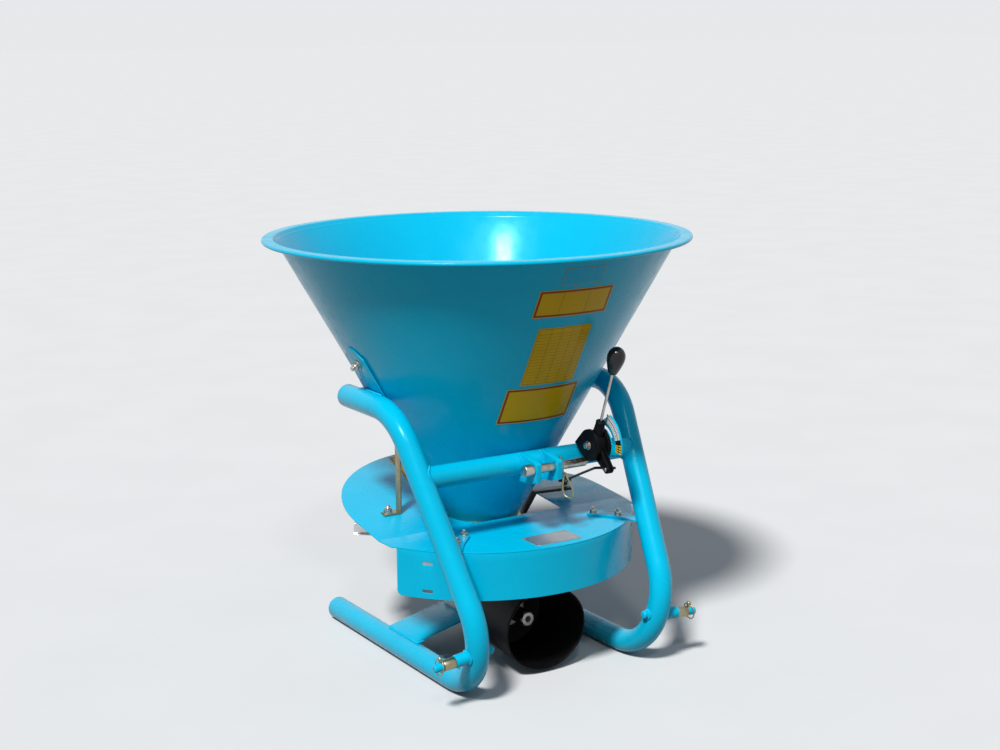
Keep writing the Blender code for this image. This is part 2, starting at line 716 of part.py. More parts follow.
def build_outlet():
    hole = ring_points((0.0, 0.0), OUTPUT_SHAFT_RADIUS + 0.003, 16)
    rim = ring_points((0.0, 0.0), KEEPER_RADIUS - KEEPER_WALL * 0.5, 40)
    place = Matrix.Translation((0.0, 0.0, FLOOR_TOP - FLOOR_THICKNESS / 2))
    floor = flat("outlet_floor", [rim, hole] + port_outlines(0.0), FLOOR_THICKNESS, ZINC, place)
    low = SHUTTER_TOP - SHUTTER_THICKNESS - RUNNING - KEEPER_WALL
    keeper_profile = [
        (KEEPER_RADIUS - KEEPER_WALL, FLOOR_TOP - FLOOR_THICKNESS * 0.5),
        (KEEPER_RADIUS, FLOOR_TOP - FLOOR_THICKNESS * 0.5),
        (KEEPER_RADIUS, low),
        (SHUTTER_RADIUS - 0.008, low),
        (SHUTTER_RADIUS - 0.008, low + KEEPER_WALL),
        (KEEPER_RADIUS - KEEPER_WALL, low + KEEPER_WALL),
    ]
    keeper = turned("keeper_ring", keeper_profile, None, 40, ring=True)
    join(floor, keeper)
    side_room = math.asin((SHUTTER_ARM_WIDTH / 2 + 0.003) / (KEEPER_RADIUS - 0.02))
    first = SHUTTER_REST - side_room
    last = SHUTTER_REST + SHUTTER_TRAVEL + side_room
    reach = KEEPER_RADIUS + 0.02
    window = [(0.05 * math.cos(first), 0.05 * math.sin(first))]
    window += arc((0.0, 0.0), reach, first, last, 8)
    window += [(0.05 * math.cos(last), 0.05 * math.sin(last))]
    window_top = FLOOR_TOP - FLOOR_THICKNESS
    window_low = low - 0.002
    middle = Matrix.Translation((0.0, 0.0, (window_top + window_low) / 2))
    cut(floor, flat("cut_keeper_window", [window], window_top - window_low, None, middle))


def build_shutter():
    hole = ring_points((0.0, 0.0), OUTPUT_SHAFT_RADIUS + 0.003, 16)
    rim = ring_points((0.0, 0.0), SHUTTER_RADIUS, 40)
    place = Matrix.Translation((0.0, 0.0, SHUTTER_TOP - SHUTTER_THICKNESS / 2))
    openings = [hole] + port_outlines(-SHUTTER_TRAVEL)
    plate = flat("shutter_plate", [rim] + openings, SHUTTER_THICKNESS, BLACK_STEEL, place)
    half = SHUTTER_ARM_THICKNESS / 2
    low = SHUTTER_TOP - SHUTTER_THICKNESS / 2
    knee = KEEPER_RADIUS + 0.012
    crest = knee + (SHUTTER_ARM_TOP - low) * CONE_SLOPE
    tip = SHUTTER_ARM_RADIUS + 0.013
    outline = [
        (SHUTTER_RADIUS - 0.012, low - half * 0.45),
        (knee + half, low - half * 0.45),
        (crest + half, SHUTTER_ARM_TOP - 2 * half),
        (tip, SHUTTER_ARM_TOP - 2 * half),
        (tip, SHUTTER_ARM_TOP),
        (crest - half, SHUTTER_ARM_TOP),
        (knee - half, low + half * 0.45),
        (SHUTTER_RADIUS - 0.012, low + half * 0.45),
    ]
    radial = Vector((math.cos(SHUTTER_REST), math.sin(SHUTTER_REST), 0.0))
    across = radial.cross(Vector((0.0, 0.0, 1.0)))
    join(plate, flat("shutter_arm", [outline], SHUTTER_ARM_WIDTH, None, frame_at((0, 0, 0), across, radial)))
    eye = radial * SHUTTER_ARM_RADIUS
    cut(plate, cylinder("cut_link_bolt", LINK_BOLT_RADIUS + GAP, SHUTTER_ARM_TOP - 0.02,
                        SHUTTER_ARM_TOP + 0.01, 12, Matrix.Translation(eye)))
    nut = 0.0065
    under = SHUTTER_ARM_TOP - SHUTTER_ARM_THICKNESS - GAP
    bolt_profile = [
        (0.0, LINK_BOLT_TOP),
        (LINK_BOLT_RADIUS, LINK_BOLT_TOP),
        (LINK_BOLT_RADIUS, SHUTTER_ARM_TOP + GAP + 0.003),
        (nut, SHUTTER_ARM_TOP + GAP + 0.003),
        (nut, SHUTTER_ARM_TOP + GAP),
        (LINK_BOLT_RADIUS, SHUTTER_ARM_TOP + GAP),
        (LINK_BOLT_RADIUS, under),
        (nut, under),
        (nut, under - 0.0032),
        (0.0, under - 0.0032),
    ]
    turned("link_bolt", bolt_profile, ZINC, 12, Matrix.Translation(eye))


# Disc guard
def guard_outline():
    corner_x = GUARD_RADIUS * math.cos(SKIRT_CORNER)
    corner_y = -GUARD_RADIUS * math.sin(SKIRT_CORNER)
    inner = GUARD_INNER_HALF
    outline = arc((0.0, 0.0), GUARD_RADIUS, math.pi + SKIRT_CORNER, 2 * math.pi - SKIRT_CORNER, 32)
    outline += [
        (corner_x + 0.012, corner_y + 0.010),
        (RIGHT_LOBE_OUTER, GUARD_FOLD_Y),
        (RIGHT_LOBE_OUTER - 0.002, 0.044),
        (RIGHT_LOBE_OUTER - 0.030, RIGHT_LOBE_END_Y - 0.052),
        (RIGHT_LOBE_OUTER - 0.085, RIGHT_LOBE_END_Y),
        (inner, RIGHT_LOBE_END_Y),
        (inner, GUARD_FOLD_Y),
    ]
    start = math.pi + math.asin(-GUARD_FOLD_Y / LEFT_LOBE_INNER)
    stop = math.acos(LEFT_LOBE_END_X / LEFT_LOBE_INNER)
    outline += arc((0.0, 0.0), LEFT_LOBE_INNER, start, stop, 14)
    far = math.acos(LEFT_LOBE_END_X / LOBE_RADIUS)
    outline += arc((0.0, 0.0), LOBE_RADIUS, far, math.radians(183), 18)
    outline += [(-LOBE_RADIUS, GUARD_FOLD_Y), (-corner_x - 0.008, corner_y + 0.006)]
    return outline


def lobe_rise(x, y):
    """How far the folded lobes stand above the front plate's level."""
    slope = LEFT_LOBE_SLOPE if x < 0 else RIGHT_LOBE_SLOPE
    return max(0.0, (y - GUARD_FOLD_Y) * slope)


def build_guard():
    place = Matrix.Translation((0.0, 0.0, GUARD_TOP - GUARD_SHEET / 2))
    holes = [ring_points(spot, TAB_BOLT_RADIUS + GAP, 10) for side in TAB_BOLTS for spot in TAB_BOLTS[side]]
    holes.append(ring_points((strap_bolt_x(), STRAP_Y), TAB_BOLT_RADIUS + GAP, 10))
    plate = flat("guard_plate", [guard_outline()] + holes, GUARD_SHEET, ENAMEL, place)
    body = bmesh.new()
    body.from_mesh(plate.data)
    parts = list(body.verts) + list(body.edges) + list(body.faces)
    bmesh.ops.bisect_plane(body, geom=parts, plane_co=(0.0, GUARD_FOLD_Y, 0.0), plane_no=(0.0, 1.0, 0.0),
                           dist=0.00001)
    for vert in body.verts:
        vert.co.z += lobe_rise(vert.co.x, vert.co.y)
    body.to_mesh(plate.data)
    body.free()

    skirt_top = GUARD_TOP - GUARD_SHEET - GAP
    start = math.pi + SKIRT_CORNER
    end = 2 * math.pi - SKIRT_CORNER
    band = arc((0.0, 0.0), GUARD_RADIUS, start, end, 32)
    band += arc((0.0, 0.0), GUARD_RADIUS - GUARD_SHEET, end, start, 32)
    middle = Matrix.Translation((0.0, 0.0, (skirt_top + SKIRT_BOTTOM) / 2))
    skirt = flat("guard_skirt", [band], skirt_top - SKIRT_BOTTOM, ENAMEL, middle)
    for side, sign in (("left", -1), ("right", 1)):
        for row, drop in enumerate(SLOT_DROPS):
            radial = Vector((sign * math.cos(SLOT_ANGLE), -math.sin(SLOT_ANGLE), 0.0))
            slot = box("cut_slot_%s_%d" % (side, row), (-SLOT_HEIGHT / 2, -SLOT_LENGTH / 2, -0.02),
                       (SLOT_HEIGHT / 2, SLOT_LENGTH / 2, 0.02), None,
                       frame_at(radial * GUARD_RADIUS + Vector((0, 0, GUARD_TOP - drop)), radial, (0, 0, 1)))
            cut(skirt, slot)


def build_guard_tab(side, sign):
    """The tab between a leg and the front plate, with its inner bolt."""
    near, far = [Vector((*spot, 0.0)) for spot in TAB_BOLTS[side]]
    height = GUARD_TOP + GAP + TAB_THICKNESS / 2
    leg = Vector((sign * side_x(height), leg_y(height), 0.0))
    inward = (near - far).normalized()
    wide = inward.cross(Vector((0.0, 0.0, 1.0)))
    outward = (leg - far).normalized()
    broad = outward.cross(Vector((0.0, 0.0, -1.0)))
    end = near + inward * 0.013
    corners = [
        end + wide * 0.006, near + wide * 0.012, far + wide * 0.015, leg + broad * 0.020,
        leg - broad * 0.020, far - wide * 0.015, near - wide * 0.012, end - wide * 0.006,
    ]
    outline = [(corner.x, corner.y) for corner in corners]
    holes = [ring_points((point.x, point.y), TAB_BOLT_RADIUS + GAP, 10) for point in (near, far)]
    tab = flat("guard_tab_" + side, [outline] + holes, TAB_THICKNESS, ENAMEL,
               Matrix.Translation((0.0, 0.0, height)))
    cut(tab, leg_cutter("cut_tab_" + side, sign, GAP))
    bolt("guard_bolt_" + side, TAB_BOLT_RADIUS, GUARD_TOP - GUARD_SHEET, GUARD_TOP + GAP + TAB_THICKNESS,
         (0.0055, 0.004), (0.0058, 0.0075), BRIGHT, Matrix.Translation((near.x, near.y, 0.0)))


def strap_bolt_x():
    return STRAP_X - STRAP_FOOT + STRAP_BOLT_INSET


def build_strap():
    """The angled strap that hangs the left lobe from the cone."""
    t = STRAP_THICKNESS
    foot_z = GUARD_TOP + lobe_rise(-1.0, STRAP_Y) + GAP
    out = Vector((-math.cos(CONE_ANGLE), -math.sin(CONE_ANGLE)))
    up = Vector((-math.sin(CONE_ANGLE), math.cos(CONE_ANGLE)))
    meet_z = FOOT_HEIGHT + (-STRAP_X - FOOT_RADIUS) / CONE_SLOPE
    wall = Vector((STRAP_X, meet_z)) + out * GAP
    top = wall + up * STRAP_TOP_RUN
    outline = [
        (STRAP_X - STRAP_FOOT, foot_z),
        (STRAP_X + t / 2, foot_z),
        (STRAP_X + t / 2, wall.y - (t / 2) / math.tan(CONE_ANGLE) - 0.002),
        (wall.x, wall.y),
        (top.x, top.y),
        (top.x + out.x * t, top.y + out.y * t),
        (STRAP_X - t / 2, wall.y - t),
        (STRAP_X - t / 2, foot_z + t),
        (STRAP_X - STRAP_FOOT, foot_z + t),
    ]
    place = frame_at((0.0, STRAP_Y, 0.0), (0.0, -1.0, 0.0), (1.0, 0.0, 0.0))
    strap = flat("lobe_strap", [outline], STRAP_WIDTH, ZINC, place)
    for vert in strap.data.vertices:
        world_y = -vert.co.z
        vert.co.y += world_y * LEFT_LOBE_SLOPE
    cut(strap, cylinder("cut_strap_bolt", TAB_BOLT_RADIUS + GAP, foot_z - 0.03, foot_z + 0.03, 10,
                        Matrix.Translation((strap_bolt_x(), STRAP_Y, 0.0))))
    tilt = Matrix.Rotation(math.atan(LEFT_LOBE_SLOPE), 4, "X")
    foot = Matrix.Translation((strap_bolt_x(), STRAP_Y, foot_z))
    bolt("strap_bolt", TAB_BOLT_RADIUS - 0.0004, -GUARD_SHEET - GAP, t, (0.0055, 0.004), (0.0058, 0.0075),
         BRIGHT, foot @ tilt)


def build_data_plate():
    width, depth, thick = DATA_PLATE_SIZE
    x, y = DATA_PLATE_XY
    low = (x - width / 2, y - depth / 2, GUARD_TOP + GAP)
    high = (x + width / 2, y + depth / 2, GUARD_TOP + GAP + thick)
    box("blank_plate", low, high, ALUMINIUM)


# Hitch at the cross tube
def build_top_link():
    """Two lugs on the cross tube, joined by a bridge under it, with the pin and its clip."""
    tube_y = leg_y(CROSS_TUBE_HEIGHT)
    low = CROSS_TUBE_HEIGHT - CROSS_TUBE_RADIUS - 0.013
    front = LUG_FRONT_Y
    outline = [
        (front, TOP_PIN_Z + 0.012), (front, low + 0.012), (front + 0.024, low + 0.004),
        (tube_y + 0.010, low), (tube_y + 0.010, low + 0.010),
        (tube_y - 0.010, CROSS_TUBE_HEIGHT + CROSS_TUBE_RADIUS + 0.003),
        (tube_y - 0.026, CROSS_TUBE_HEIGHT + CROSS_TUBE_RADIUS),
        (front + 0.007, TOP_PIN_Z + 0.016),
    ]
    hole = ring_points((TOP_PIN_Y, TOP_PIN_Z), TOP_PIN_RADIUS + RUNNING, 20)
    middle_x = LUG_INNER_HALF + LUG_THICKNESS / 2
    lugs = []
    for side, sign in (("left", -1), ("right", 1)):
        place = frame_at((sign * middle_x, 0.0, 0.0), (1.0, 0.0, 0.0), (0.0, 1.0, 0.0))
        lugs.append(flat("top_link_bracket" if sign < 0 else "right_lug", [outline, hole], LUG_THICKNESS,
                         ENAMEL if sign < 0 else None, place))
    bracket = join(lugs[0], lugs[1])
    join(bracket, box("bracket_bridge", (-middle_x, tube_y - 0.022, low + 0.0005),
                      (middle_x, tube_y + 0.0085, low + 0.0095), None))
    cut(bracket, cross_tube_cutter("cut_bracket_tube", GAP))

    outer_face = LUG_INNER_HALF + LUG_THICKNESS + GAP
    head_end = outer_face + TOP_PIN_HEAD_LENGTH
    radius = TOP_PIN_RADIUS
    profile = [
        (0.0, TOP_PIN_END_X), (radius * 0.75, TOP_PIN_END_X), (radius, TOP_PIN_END_X - 0.003),
        (radius, -outer_face), (TOP_PIN_HEAD_RADIUS, -outer_face),
        (TOP_PIN_HEAD_RADIUS, -head_end + 0.002), (TOP_PIN_HEAD_RADIUS * 0.85, -head_end), (0.0, -head_end),
    ]
    pin_frame = frame_at((0.0, TOP_PIN_Y, TOP_PIN_Z), (1.0, 0.0, 0.0), (0.0, 0.0, 1.0))
    pin = turned("top_link_pin", profile, BRIGHT, 20, pin_frame)
    clip_x = outer_face + CLIP_OFFSET
    up = Vector((0.0, math.sin(CLIP_LEAN), math.cos(CLIP_LEAN)))
    clip_frame = frame_at((clip_x, TOP_PIN_Y, TOP_PIN_Z), (1.0, 0.0, 0.0), -up)
    cut(pin, cylinder("cut_clip", CLIP_WIRE + RUNNING, -0.02, 0.02, 8,
                      frame_at((clip_x, TOP_PIN_Y, TOP_PIN_Z), up, (1.0, 0.0, 0.0))))
    beside = radius + CLIP_WIRE + 0.0012
    loop_at = 0.062
    loop = 0.0095
    path = [(-0.036, 0.0), (0.020, 0.0), (0.034, 0.0016)]
    path += [(loop_at + x, -beside / 2 + y) for x, y in arc((0.0, 0.0), loop, math.radians(100),
                                                            math.radians(-100), 9)]
    path += [(0.034, -beside - 0.0016), (0.020, -beside), (-0.016, -beside), (-0.024, -beside - 0.003)]
    rod("hitch_clip", [(x, -y, 0.0) for x, y in path], CLIP_WIRE, ZINC, 1, place=clip_frame)


# Control lever
def lever_frame(x):
    """Placement on the lever's axis: +Z along +X of the machine, own X = rear, own Y = up."""
    return frame_at((x, PIVOT_Y, PIVOT_Z), (1.0, 0.0, 0.0), (0.0, 1.0, 0.0))


def build_lever():
    pivot_hole = ring_points((0.0, 0.0), PIVOT_BOLT_RADIUS + RUNNING, 12)
    half = math.acos(CLAMP_RADIUS / CLAMP_POINT)
    first = CLAMP_POINT_ANGLE + half
    last = CLAMP_POINT_ANGLE + 2 * math.pi - half
    point = (CLAMP_POINT * math.cos(CLAMP_POINT_ANGLE), CLAMP_POINT * math.sin(CLAMP_POINT_ANGLE))
    outline = arc((0.0, 0.0), CLAMP_RADIUS, first, last, 24) + [point]
    clamp_mid = CLAMP_X + CLAMP_THICKNESS / 2
    flat("lever_clamp_front", [outline, pivot_hole], CLAMP_THICKNESS, BLACK_PLASTIC, lever_frame(clamp_mid))

    hub_low = CLAMP_X + CLAMP_THICKNESS + RUNNING
    hub_mid = hub_low + HUB_THICKNESS / 2
    lean = LEVER_LEAN
    along = Vector((-math.sin(lean), math.cos(lean)))
    side = Vector((-along.y, along.x))
    drop = Vector((-math.sin(ARM_DROP_ANGLE), -math.cos(ARM_DROP_ANGLE)))
    drop_side = Vector((-drop.y, drop.x))
    eye = drop * ARM_LENGTH
    angle_of = lambda vector: math.atan2(vector.y, vector.x)
    boss_left = along * HUB_RADIUS * 0.86 + side * 0.012
    boss_right = along * HUB_RADIUS * 0.86 - side * 0.012
    arm_left = drop * HUB_RADIUS * 0.86 + drop_side * 0.011
    arm_right = drop * HUB_RADIUS * 0.86 - drop_side * 0.011
    tip = along * LEVER_BOSS_REACH
    outline = [tip - side * 0.008, tip + side * 0.008, boss_left]
    outline += [Vector(p) for p in arc((0, 0), HUB_RADIUS, angle_of(boss_left) + 0.1,
                                       angle_of(arm_right) + 2 * math.pi - 0.1, 5)]
    outline += [arm_right]
    eye_start = angle_of(-drop_side)
    outline += [Vector(p) for p in arc(eye, 0.0105, eye_start, eye_start + math.pi, 6)]
    outline += [arm_left]
    outline += [Vector(p) for p in arc((0, 0), HUB_RADIUS, angle_of(arm_left) + 2 * math.pi + 0.1,
                                       angle_of(boss_right) + 2 * math.pi - 0.1, 12)]
    outline += [boss_right]
    eye_hole = ring_points(eye, ARM_PIN_RADIUS + RUNNING, 10)
    hub = flat("lever_hub", [[tuple(p) for p in outline], pivot_hole, eye_hole], HUB_THICKNESS,
               BLACK_PLASTIC, lever_frame(hub_mid))
    reach = Vector((0.0, along.x, along.y))
    pivot = Vector((hub_mid, PIVOT_Y, PIVOT_Z))
    lever_axis = frame_at(pivot, reach, (1.0, 0.0, 0.0))
    socket_end = LEVER_BOSS_REACH - LEVER_SOCKET_DEPTH
    cut(hub, cylinder("cut_rod_socket", LEVER_ROD_RADIUS + GAP, socket_end, 0.1, 12, lever_axis))
    rod_radius = LEVER_ROD_RADIUS
    rod_low = socket_end + GAP
    turned("lever_rod", [(0.0, LEVER_ROD_REACH), (rod_radius, LEVER_ROD_REACH), (rod_radius, rod_low),
                         (0.0, rod_low)], BRIGHT, 12, lever_axis)
    top = KNOB_START + KNOB_LENGTH
    bore = rod_radius + GAP
    knob_profile = [
        (0.0, top), (KNOB_RADIUS * 0.42, top - 0.0020), (KNOB_RADIUS * 0.78, top - 0.0080),
        (KNOB_RADIUS, top - 0.0205), (KNOB_RADIUS * 0.97, top - 0.0300), (KNOB_RADIUS * 0.80, top - 0.0450),
        (KNOB_RADIUS * 0.56, top - 0.0590), (KNOB_RADIUS * 0.44, KNOB_START), (bore, KNOB_START),
        (bore, LEVER_ROD_REACH + GAP), (0.0, LEVER_ROD_REACH + GAP),
    ]
    turned("lever_knob", knob_profile, GLOSS_BLACK, 20, lever_axis)

    disc_low = hub_low + HUB_THICKNESS + RUNNING
    disc_mid = disc_low + REAR_DISC_THICKNESS / 2
    flat("lever_clamp_rear", [ring_points((0, 0), REAR_DISC_RADIUS, 28), pivot_hole], REAR_DISC_THICKNESS,
         BLACK_PLASTIC, lever_frame(disc_mid))
    sector_low = disc_low + REAR_DISC_THICKNESS + GAP
    build_sector(sector_low + SECTOR_THICKNESS / 2, pivot_hole)

    nut_face = sector_low + SECTOR_THICKNESS + GAP
    head_face = CLAMP_X - GAP
    radius = PIVOT_BOLT_RADIUS
    bolt_profile = [
        (0.0, nut_face + 0.013), (radius, nut_face + 0.013), (radius, nut_face + 0.009),
        (0.009, nut_face + 0.008), (0.009, nut_face), (radius, nut_face), (radius, head_face),
        (0.0095, head_face), (0.0095, head_face - 0.002), (0.0078, head_face - 0.002),
        (0.0078, head_face - 0.009), (0.0, head_face - 0.010),
    ]
    turned("lever_pivot_bolt", bolt_profile, BRIGHT, 12,
           frame_at((0.0, PIVOT_Y, PIVOT_Z), (1.0, 0.0, 0.0), (0.0, 0.0, 1.0)))
    build_link(pivot + ARM_DIRECTION * ARM_LENGTH, hub_low)


def build_sector(x, pivot_hole):
    """The scale plate on the cross tube, with the lever's arc slot."""
    tube = Vector((leg_y(CROSS_TUBE_HEIGHT) - PIVOT_Y, CROSS_TUBE_HEIGHT - PIVOT_Z))
    reach = CROSS_TUBE_RADIUS + 0.006
    outline = [(-0.001, SECTOR_RADIUS * 0.72)]
    outline += arc((0.0, 0.0), SECTOR_RADIUS, math.radians(112), math.radians(190), 16)
    outline += [
        (-0.0245, -0.022),
        (tube.x - reach, tube.y - 0.008),
        (tube.x, tube.y),
        (tube.x, tube.y + reach),
        (tube.x - 0.026, tube.y + reach + 0.016),
    ]
    low = SECTOR_SLOT_RADIUS - SECTOR_SLOT_HALF_WIDTH
    high = SECTOR_SLOT_RADIUS + SECTOR_SLOT_HALF_WIDTH
    slot = arc((0.0, 0.0), high, math.radians(98), math.radians(172), 12)
    slot += arc((0.0, 0.0), low, math.radians(172), math.radians(98), 12)
    plate = flat("sector_plate", [outline, pivot_hole, slot], SECTOR_THICKNESS, ENAMEL, lever_frame(x))
    cut(plate, cross_tube_cutter("cut_sector_tube", GAP))


def build_link(eye, hub_low):
    """The link from the lever's arm back to the shutter's bolt, which it rings with room."""
    far = Vector((math.cos(SHUTTER_REST), math.sin(SHUTTER_REST), 0.0)) * SHUTTER_ARM_RADIUS
    far.z = LINK_EYE_HEIGHT
    wire = LINK_ROD_RADIUS
    beyond = hub_low + HUB_THICKNESS + wire + 0.001
    start = Vector((hub_low + 0.002, eye.y, eye.z))
    corner = Vector((beyond + 0.004, eye.y, eye.z))
    eye_radius = LINK_BOLT_RADIUS + LINK_EYE_CLEARANCE + wire
    knee = corner + Vector((0.004, 0.082, -0.018))
    heading = (far - knee).normalized()
    tail = far - heading * (eye_radius + 0.0008)
    side = heading.cross(Vector((0.0, 0.0, 1.0))).normalized()
    inward = (knee - corner).normalized()
    path = [start, start.lerp(corner, 0.6), corner - Vector((0.0015, 0, 0)), corner + inward * 0.004,
            knee - inward * 0.006, knee + heading * 0.006, tail - heading * 0.012]
    centre = far
    first = math.radians(172)
    for i in range(15):
        angle = first - math.radians(332) * i / 14
        path.append(centre + heading * math.cos(angle) * eye_radius + side * math.sin(angle) * eye_radius)
    rod("link_rod", [tuple(point) for point in path], wire, BLACK_STEEL, 1)


# Gearbox and drive
def bevel_gear(name, teeth, mate_teeth, bore, hub_height, coat, place, phase):
    """A straight bevel gear. Its heel lies at own Z = 0 and its apex at the pitch distance above."""
    pitch_radius = teeth * GEAR_MODULE / 2
    apex = mate_teeth * GEAR_MODULE / 2
    cone_distance = math.hypot(pitch_radius, apex)
    toe = 1.0 - GEAR_FACE / cone_distance
    slant = apex / cone_distance
    tip = pitch_radius + 0.62 * GEAR_MODULE * slant
    root = pitch_radius - 1.05 * GEAR_MODULE * slant
    pitch = 2 * math.pi / teeth
    outline = []
    for k in range(teeth):
        middle = phase + k * pitch
        for radius, share in ((root, -0.5 * TOOTH_SHARE - 0.10), (tip, -0.5 * TOOTH_SHARE + 0.08),
                              (tip, 0.5 * TOOTH_SHARE - 0.08), (root, 0.5 * TOOTH_SHARE + 0.10)):
            angle = middle + share * pitch
            outline.append((radius * math.cos(angle), radius * math.sin(angle)))
    height = apex * (1.0 - toe)
    gear = flat(name, [outline, ring_points((0, 0), bore, 20)], height, coat,
                place @ Matrix.Translation((0.0, 0.0, height / 2)))
    for vert in gear.data.vertices:
        if vert.co.z > 0 and math.hypot(vert.co.x, vert.co.y) > bore + 0.001:
            vert.co.x *= toe
            vert.co.y *= toe
    if hub_height > 0:
        hub = washer(name + "_hub", root - 0.003, bore, -hub_height, 0.0005, None, 20, place)
        join(gear, hub)
    return gear


def input_frame():
    """+Z towards the rear along the input shaft, at the crossing of the two shafts."""
    return frame_at((0.0, 0.0, DRIVE_HEIGHT), (0.0, 1.0, 0.0), (0.0, 0.0, 1.0))


def output_frame():
    return Matrix.Translation((0.0, 0.0, DRIVE_HEIGHT))


def build_gears():
    input_pitch = INPUT_TEETH * GEAR_MODULE / 2
    output_pitch = OUTPUT_TEETH * GEAR_MODULE / 2
    flip = Matrix.Rotation(math.pi, 4, "X")
    down = output_frame() @ Matrix.Translation((0.0, 0.0, input_pitch)) @ flip
    half_gap = math.pi / OUTPUT_TEETH
    bevel_gear("output_gear", OUTPUT_TEETH, INPUT_TEETH, OUTPUT_SHAFT_RADIUS + GAP, 0.010, STEEL, down,
               math.radians(90) + half_gap)
    ahead = input_frame() @ Matrix.Translation((0.0, 0.0, -output_pitch))
    gear = bevel_gear("input_shaft", INPUT_TEETH, OUTPUT_TEETH, 0.006, 0.008, STEEL, ahead, 0.0)
    toe_y = -output_pitch * (1.0 - GEAR_FACE / math.hypot(input_pitch, output_pitch))
    radius = INPUT_SHAFT_RADIUS
    profile = [
        (0.0, toe_y - 0.0008), (0.0095, toe_y - 0.0008), (0.0095, -output_pitch - 0.004),
        (radius, -output_pitch - 0.0085), (radius, FRONT_NECK_END_Y - 0.009),
        (SPLINE_RADIUS, FRONT_NECK_END_Y - 0.014), (SPLINE_RADIUS, SPLINE_END_Y + 0.003),
        (SPLINE_RADIUS - 0.003, SPLINE_END_Y), (0.0, SPLINE_END_Y),
    ]
    join(gear, turned("input_bar", profile, None, 24, input_frame()))
    for k in range(SPLINE_COUNT):
        turn = Matrix.Rotation(2 * math.pi * k / SPLINE_COUNT, 4, "Z")
        groove = box("cut_spline_%d" % k, (SPLINE_RADIUS - SPLINE_DEPTH, -0.0042, SPLINE_END_Y - 0.01),
                     (SPLINE_RADIUS + 0.01, 0.0042, FRONT_NECK_END_Y - 0.022), None, input_frame() @ turn)
        cut(gear, groove)

    shaft = OUTPUT_SHAFT_RADIUS
    low = HOUSING_BOTTOM + HOUSING_WALL + 0.002
    flange_low = DISC_HEIGHT - 0.0135
    flange_top = DISC_HEIGHT - GAP
    output_profile = [
        (0.0, SHAFT_TOP), (shaft * 0.8, SHAFT_TOP), (shaft, SHAFT_TOP - 0.003), (shaft, flange_top),
        (HUB_FLANGE_RADIUS, flange_top), (HUB_FLANGE_RADIUS, flange_top - 0.005),
        (0.022, flange_top - 0.006), (0.022, flange_low), (shaft, flange_low), (shaft, low), (0.0, low),
    ]
    turned("output_shaft", output_profile, STEEL, 20)


def build_gearbox():
    half = HOUSING_HALF
    housing = box("gearbox_housing", (-half, -half, HOUSING_BOTTOM), (half, half, HOUSING_TOP), CASTING)
    front = frame_at((0.0, 0.0, DRIVE_HEIGHT), (0.0, -1.0, 0.0), (0.0, 0.0, 1.0))
    neck_end = -FRONT_NECK_END_Y
    join(housing, turned("front_neck", [
        (0.0, neck_end + 0.008), (FRONT_NECK_RADIUS, neck_end + 0.008), (FRONT_NECK_RADIUS, neck_end),
        (FRONT_FLANGE_RADIUS, neck_end), (FRONT_FLANGE_RADIUS, neck_end - 0.008),
        (FRONT_NECK_RADIUS, neck_end - 0.010), (FRONT_NECK_RADIUS, half - 0.004), (0.0, half - 0.004),
    ], None, 28, front))
    join(housing, turned("top_neck", [
        (0.0, TOP_NECK_END), (TOP_NECK_RADIUS, TOP_NECK_END), (TOP_NECK_RADIUS + 0.006, HOUSING_TOP - 0.004),
        (0.0, HOUSING_TOP - 0.004),
    ], None, 24))
    foot_low = CARRIER_TOP + GAP
    for sign in (-1, 1):
        x0, x1 = sorted((sign * (half - 0.002), sign * (half + FOOT_LENGTH)))
        join(housing, box("gearbox_foot_%d" % (sign + 1), (x0, -half * 0.85, foot_low),
                          (x1, half * 0.70, foot_low + FOOT_THICKNESS), None))
        spot = Matrix.Translation((sign * (half + FOOT_LENGTH * 0.55), CARRIER_Y, 0.0))
        cut(housing, cylinder("cut_foot_%d" % (sign + 1), CARRIER_BOLT_RADIUS + GAP, 0.06, 0.12, 12, spot))
    inner = half - HOUSING_WALL
    cut(housing, box("cut_cavity", (-inner, -inner, HOUSING_BOTTOM + HOUSING_WALL),
                     (inner, half + 0.01, HOUSING_TOP - HOUSING_WALL), None))
    bore = BEARING_RADIUS + GAP
    cut(housing, cylinder("cut_front_bore", bore, inner - 0.005, neck_end + 0.02, 24, front))
    cut(housing, cylinder("cut_top_bore", bore, HOUSING_TOP - 0.02, TOP_NECK_END + 0.01, 24))

    plate_low = half + GAP
    box("gearbox_cover", (-half, plate_low, HOUSING_BOTTOM), (half, plate_low + COVER_THICKNESS, HOUSING_TOP),
        CASTING)
    outer = BEARING_RADIUS
    shaft_in = INPUT_SHAFT_RADIUS + GAP
    shaft_out = OUTPUT_SHAFT_RADIUS + GAP
    rear_start = inner + 0.001
    washer("input_bearing_rear", outer, shaft_in, rear_start, rear_start + BEARING_WIDTH, STEEL, 20, front)
    front_end = neck_end + 0.008 - 0.006
    washer("input_bearing_front", outer, shaft_in, front_end - BEARING_WIDTH, front_end, STEEL, 20, front)
    washer("output_bearing_upper", outer, shaft_out, TOP_NECK_END - 0.012 - BEARING_WIDTH,
           TOP_NECK_END - 0.012, STEEL, 20)
    lower_low = HOUSING_BOTTOM + HOUSING_WALL + GAP
    washer("output_bearing_lower", outer * 0.75, shaft_out, lower_low, lower_low + BEARING_WIDTH, STEEL, 20)


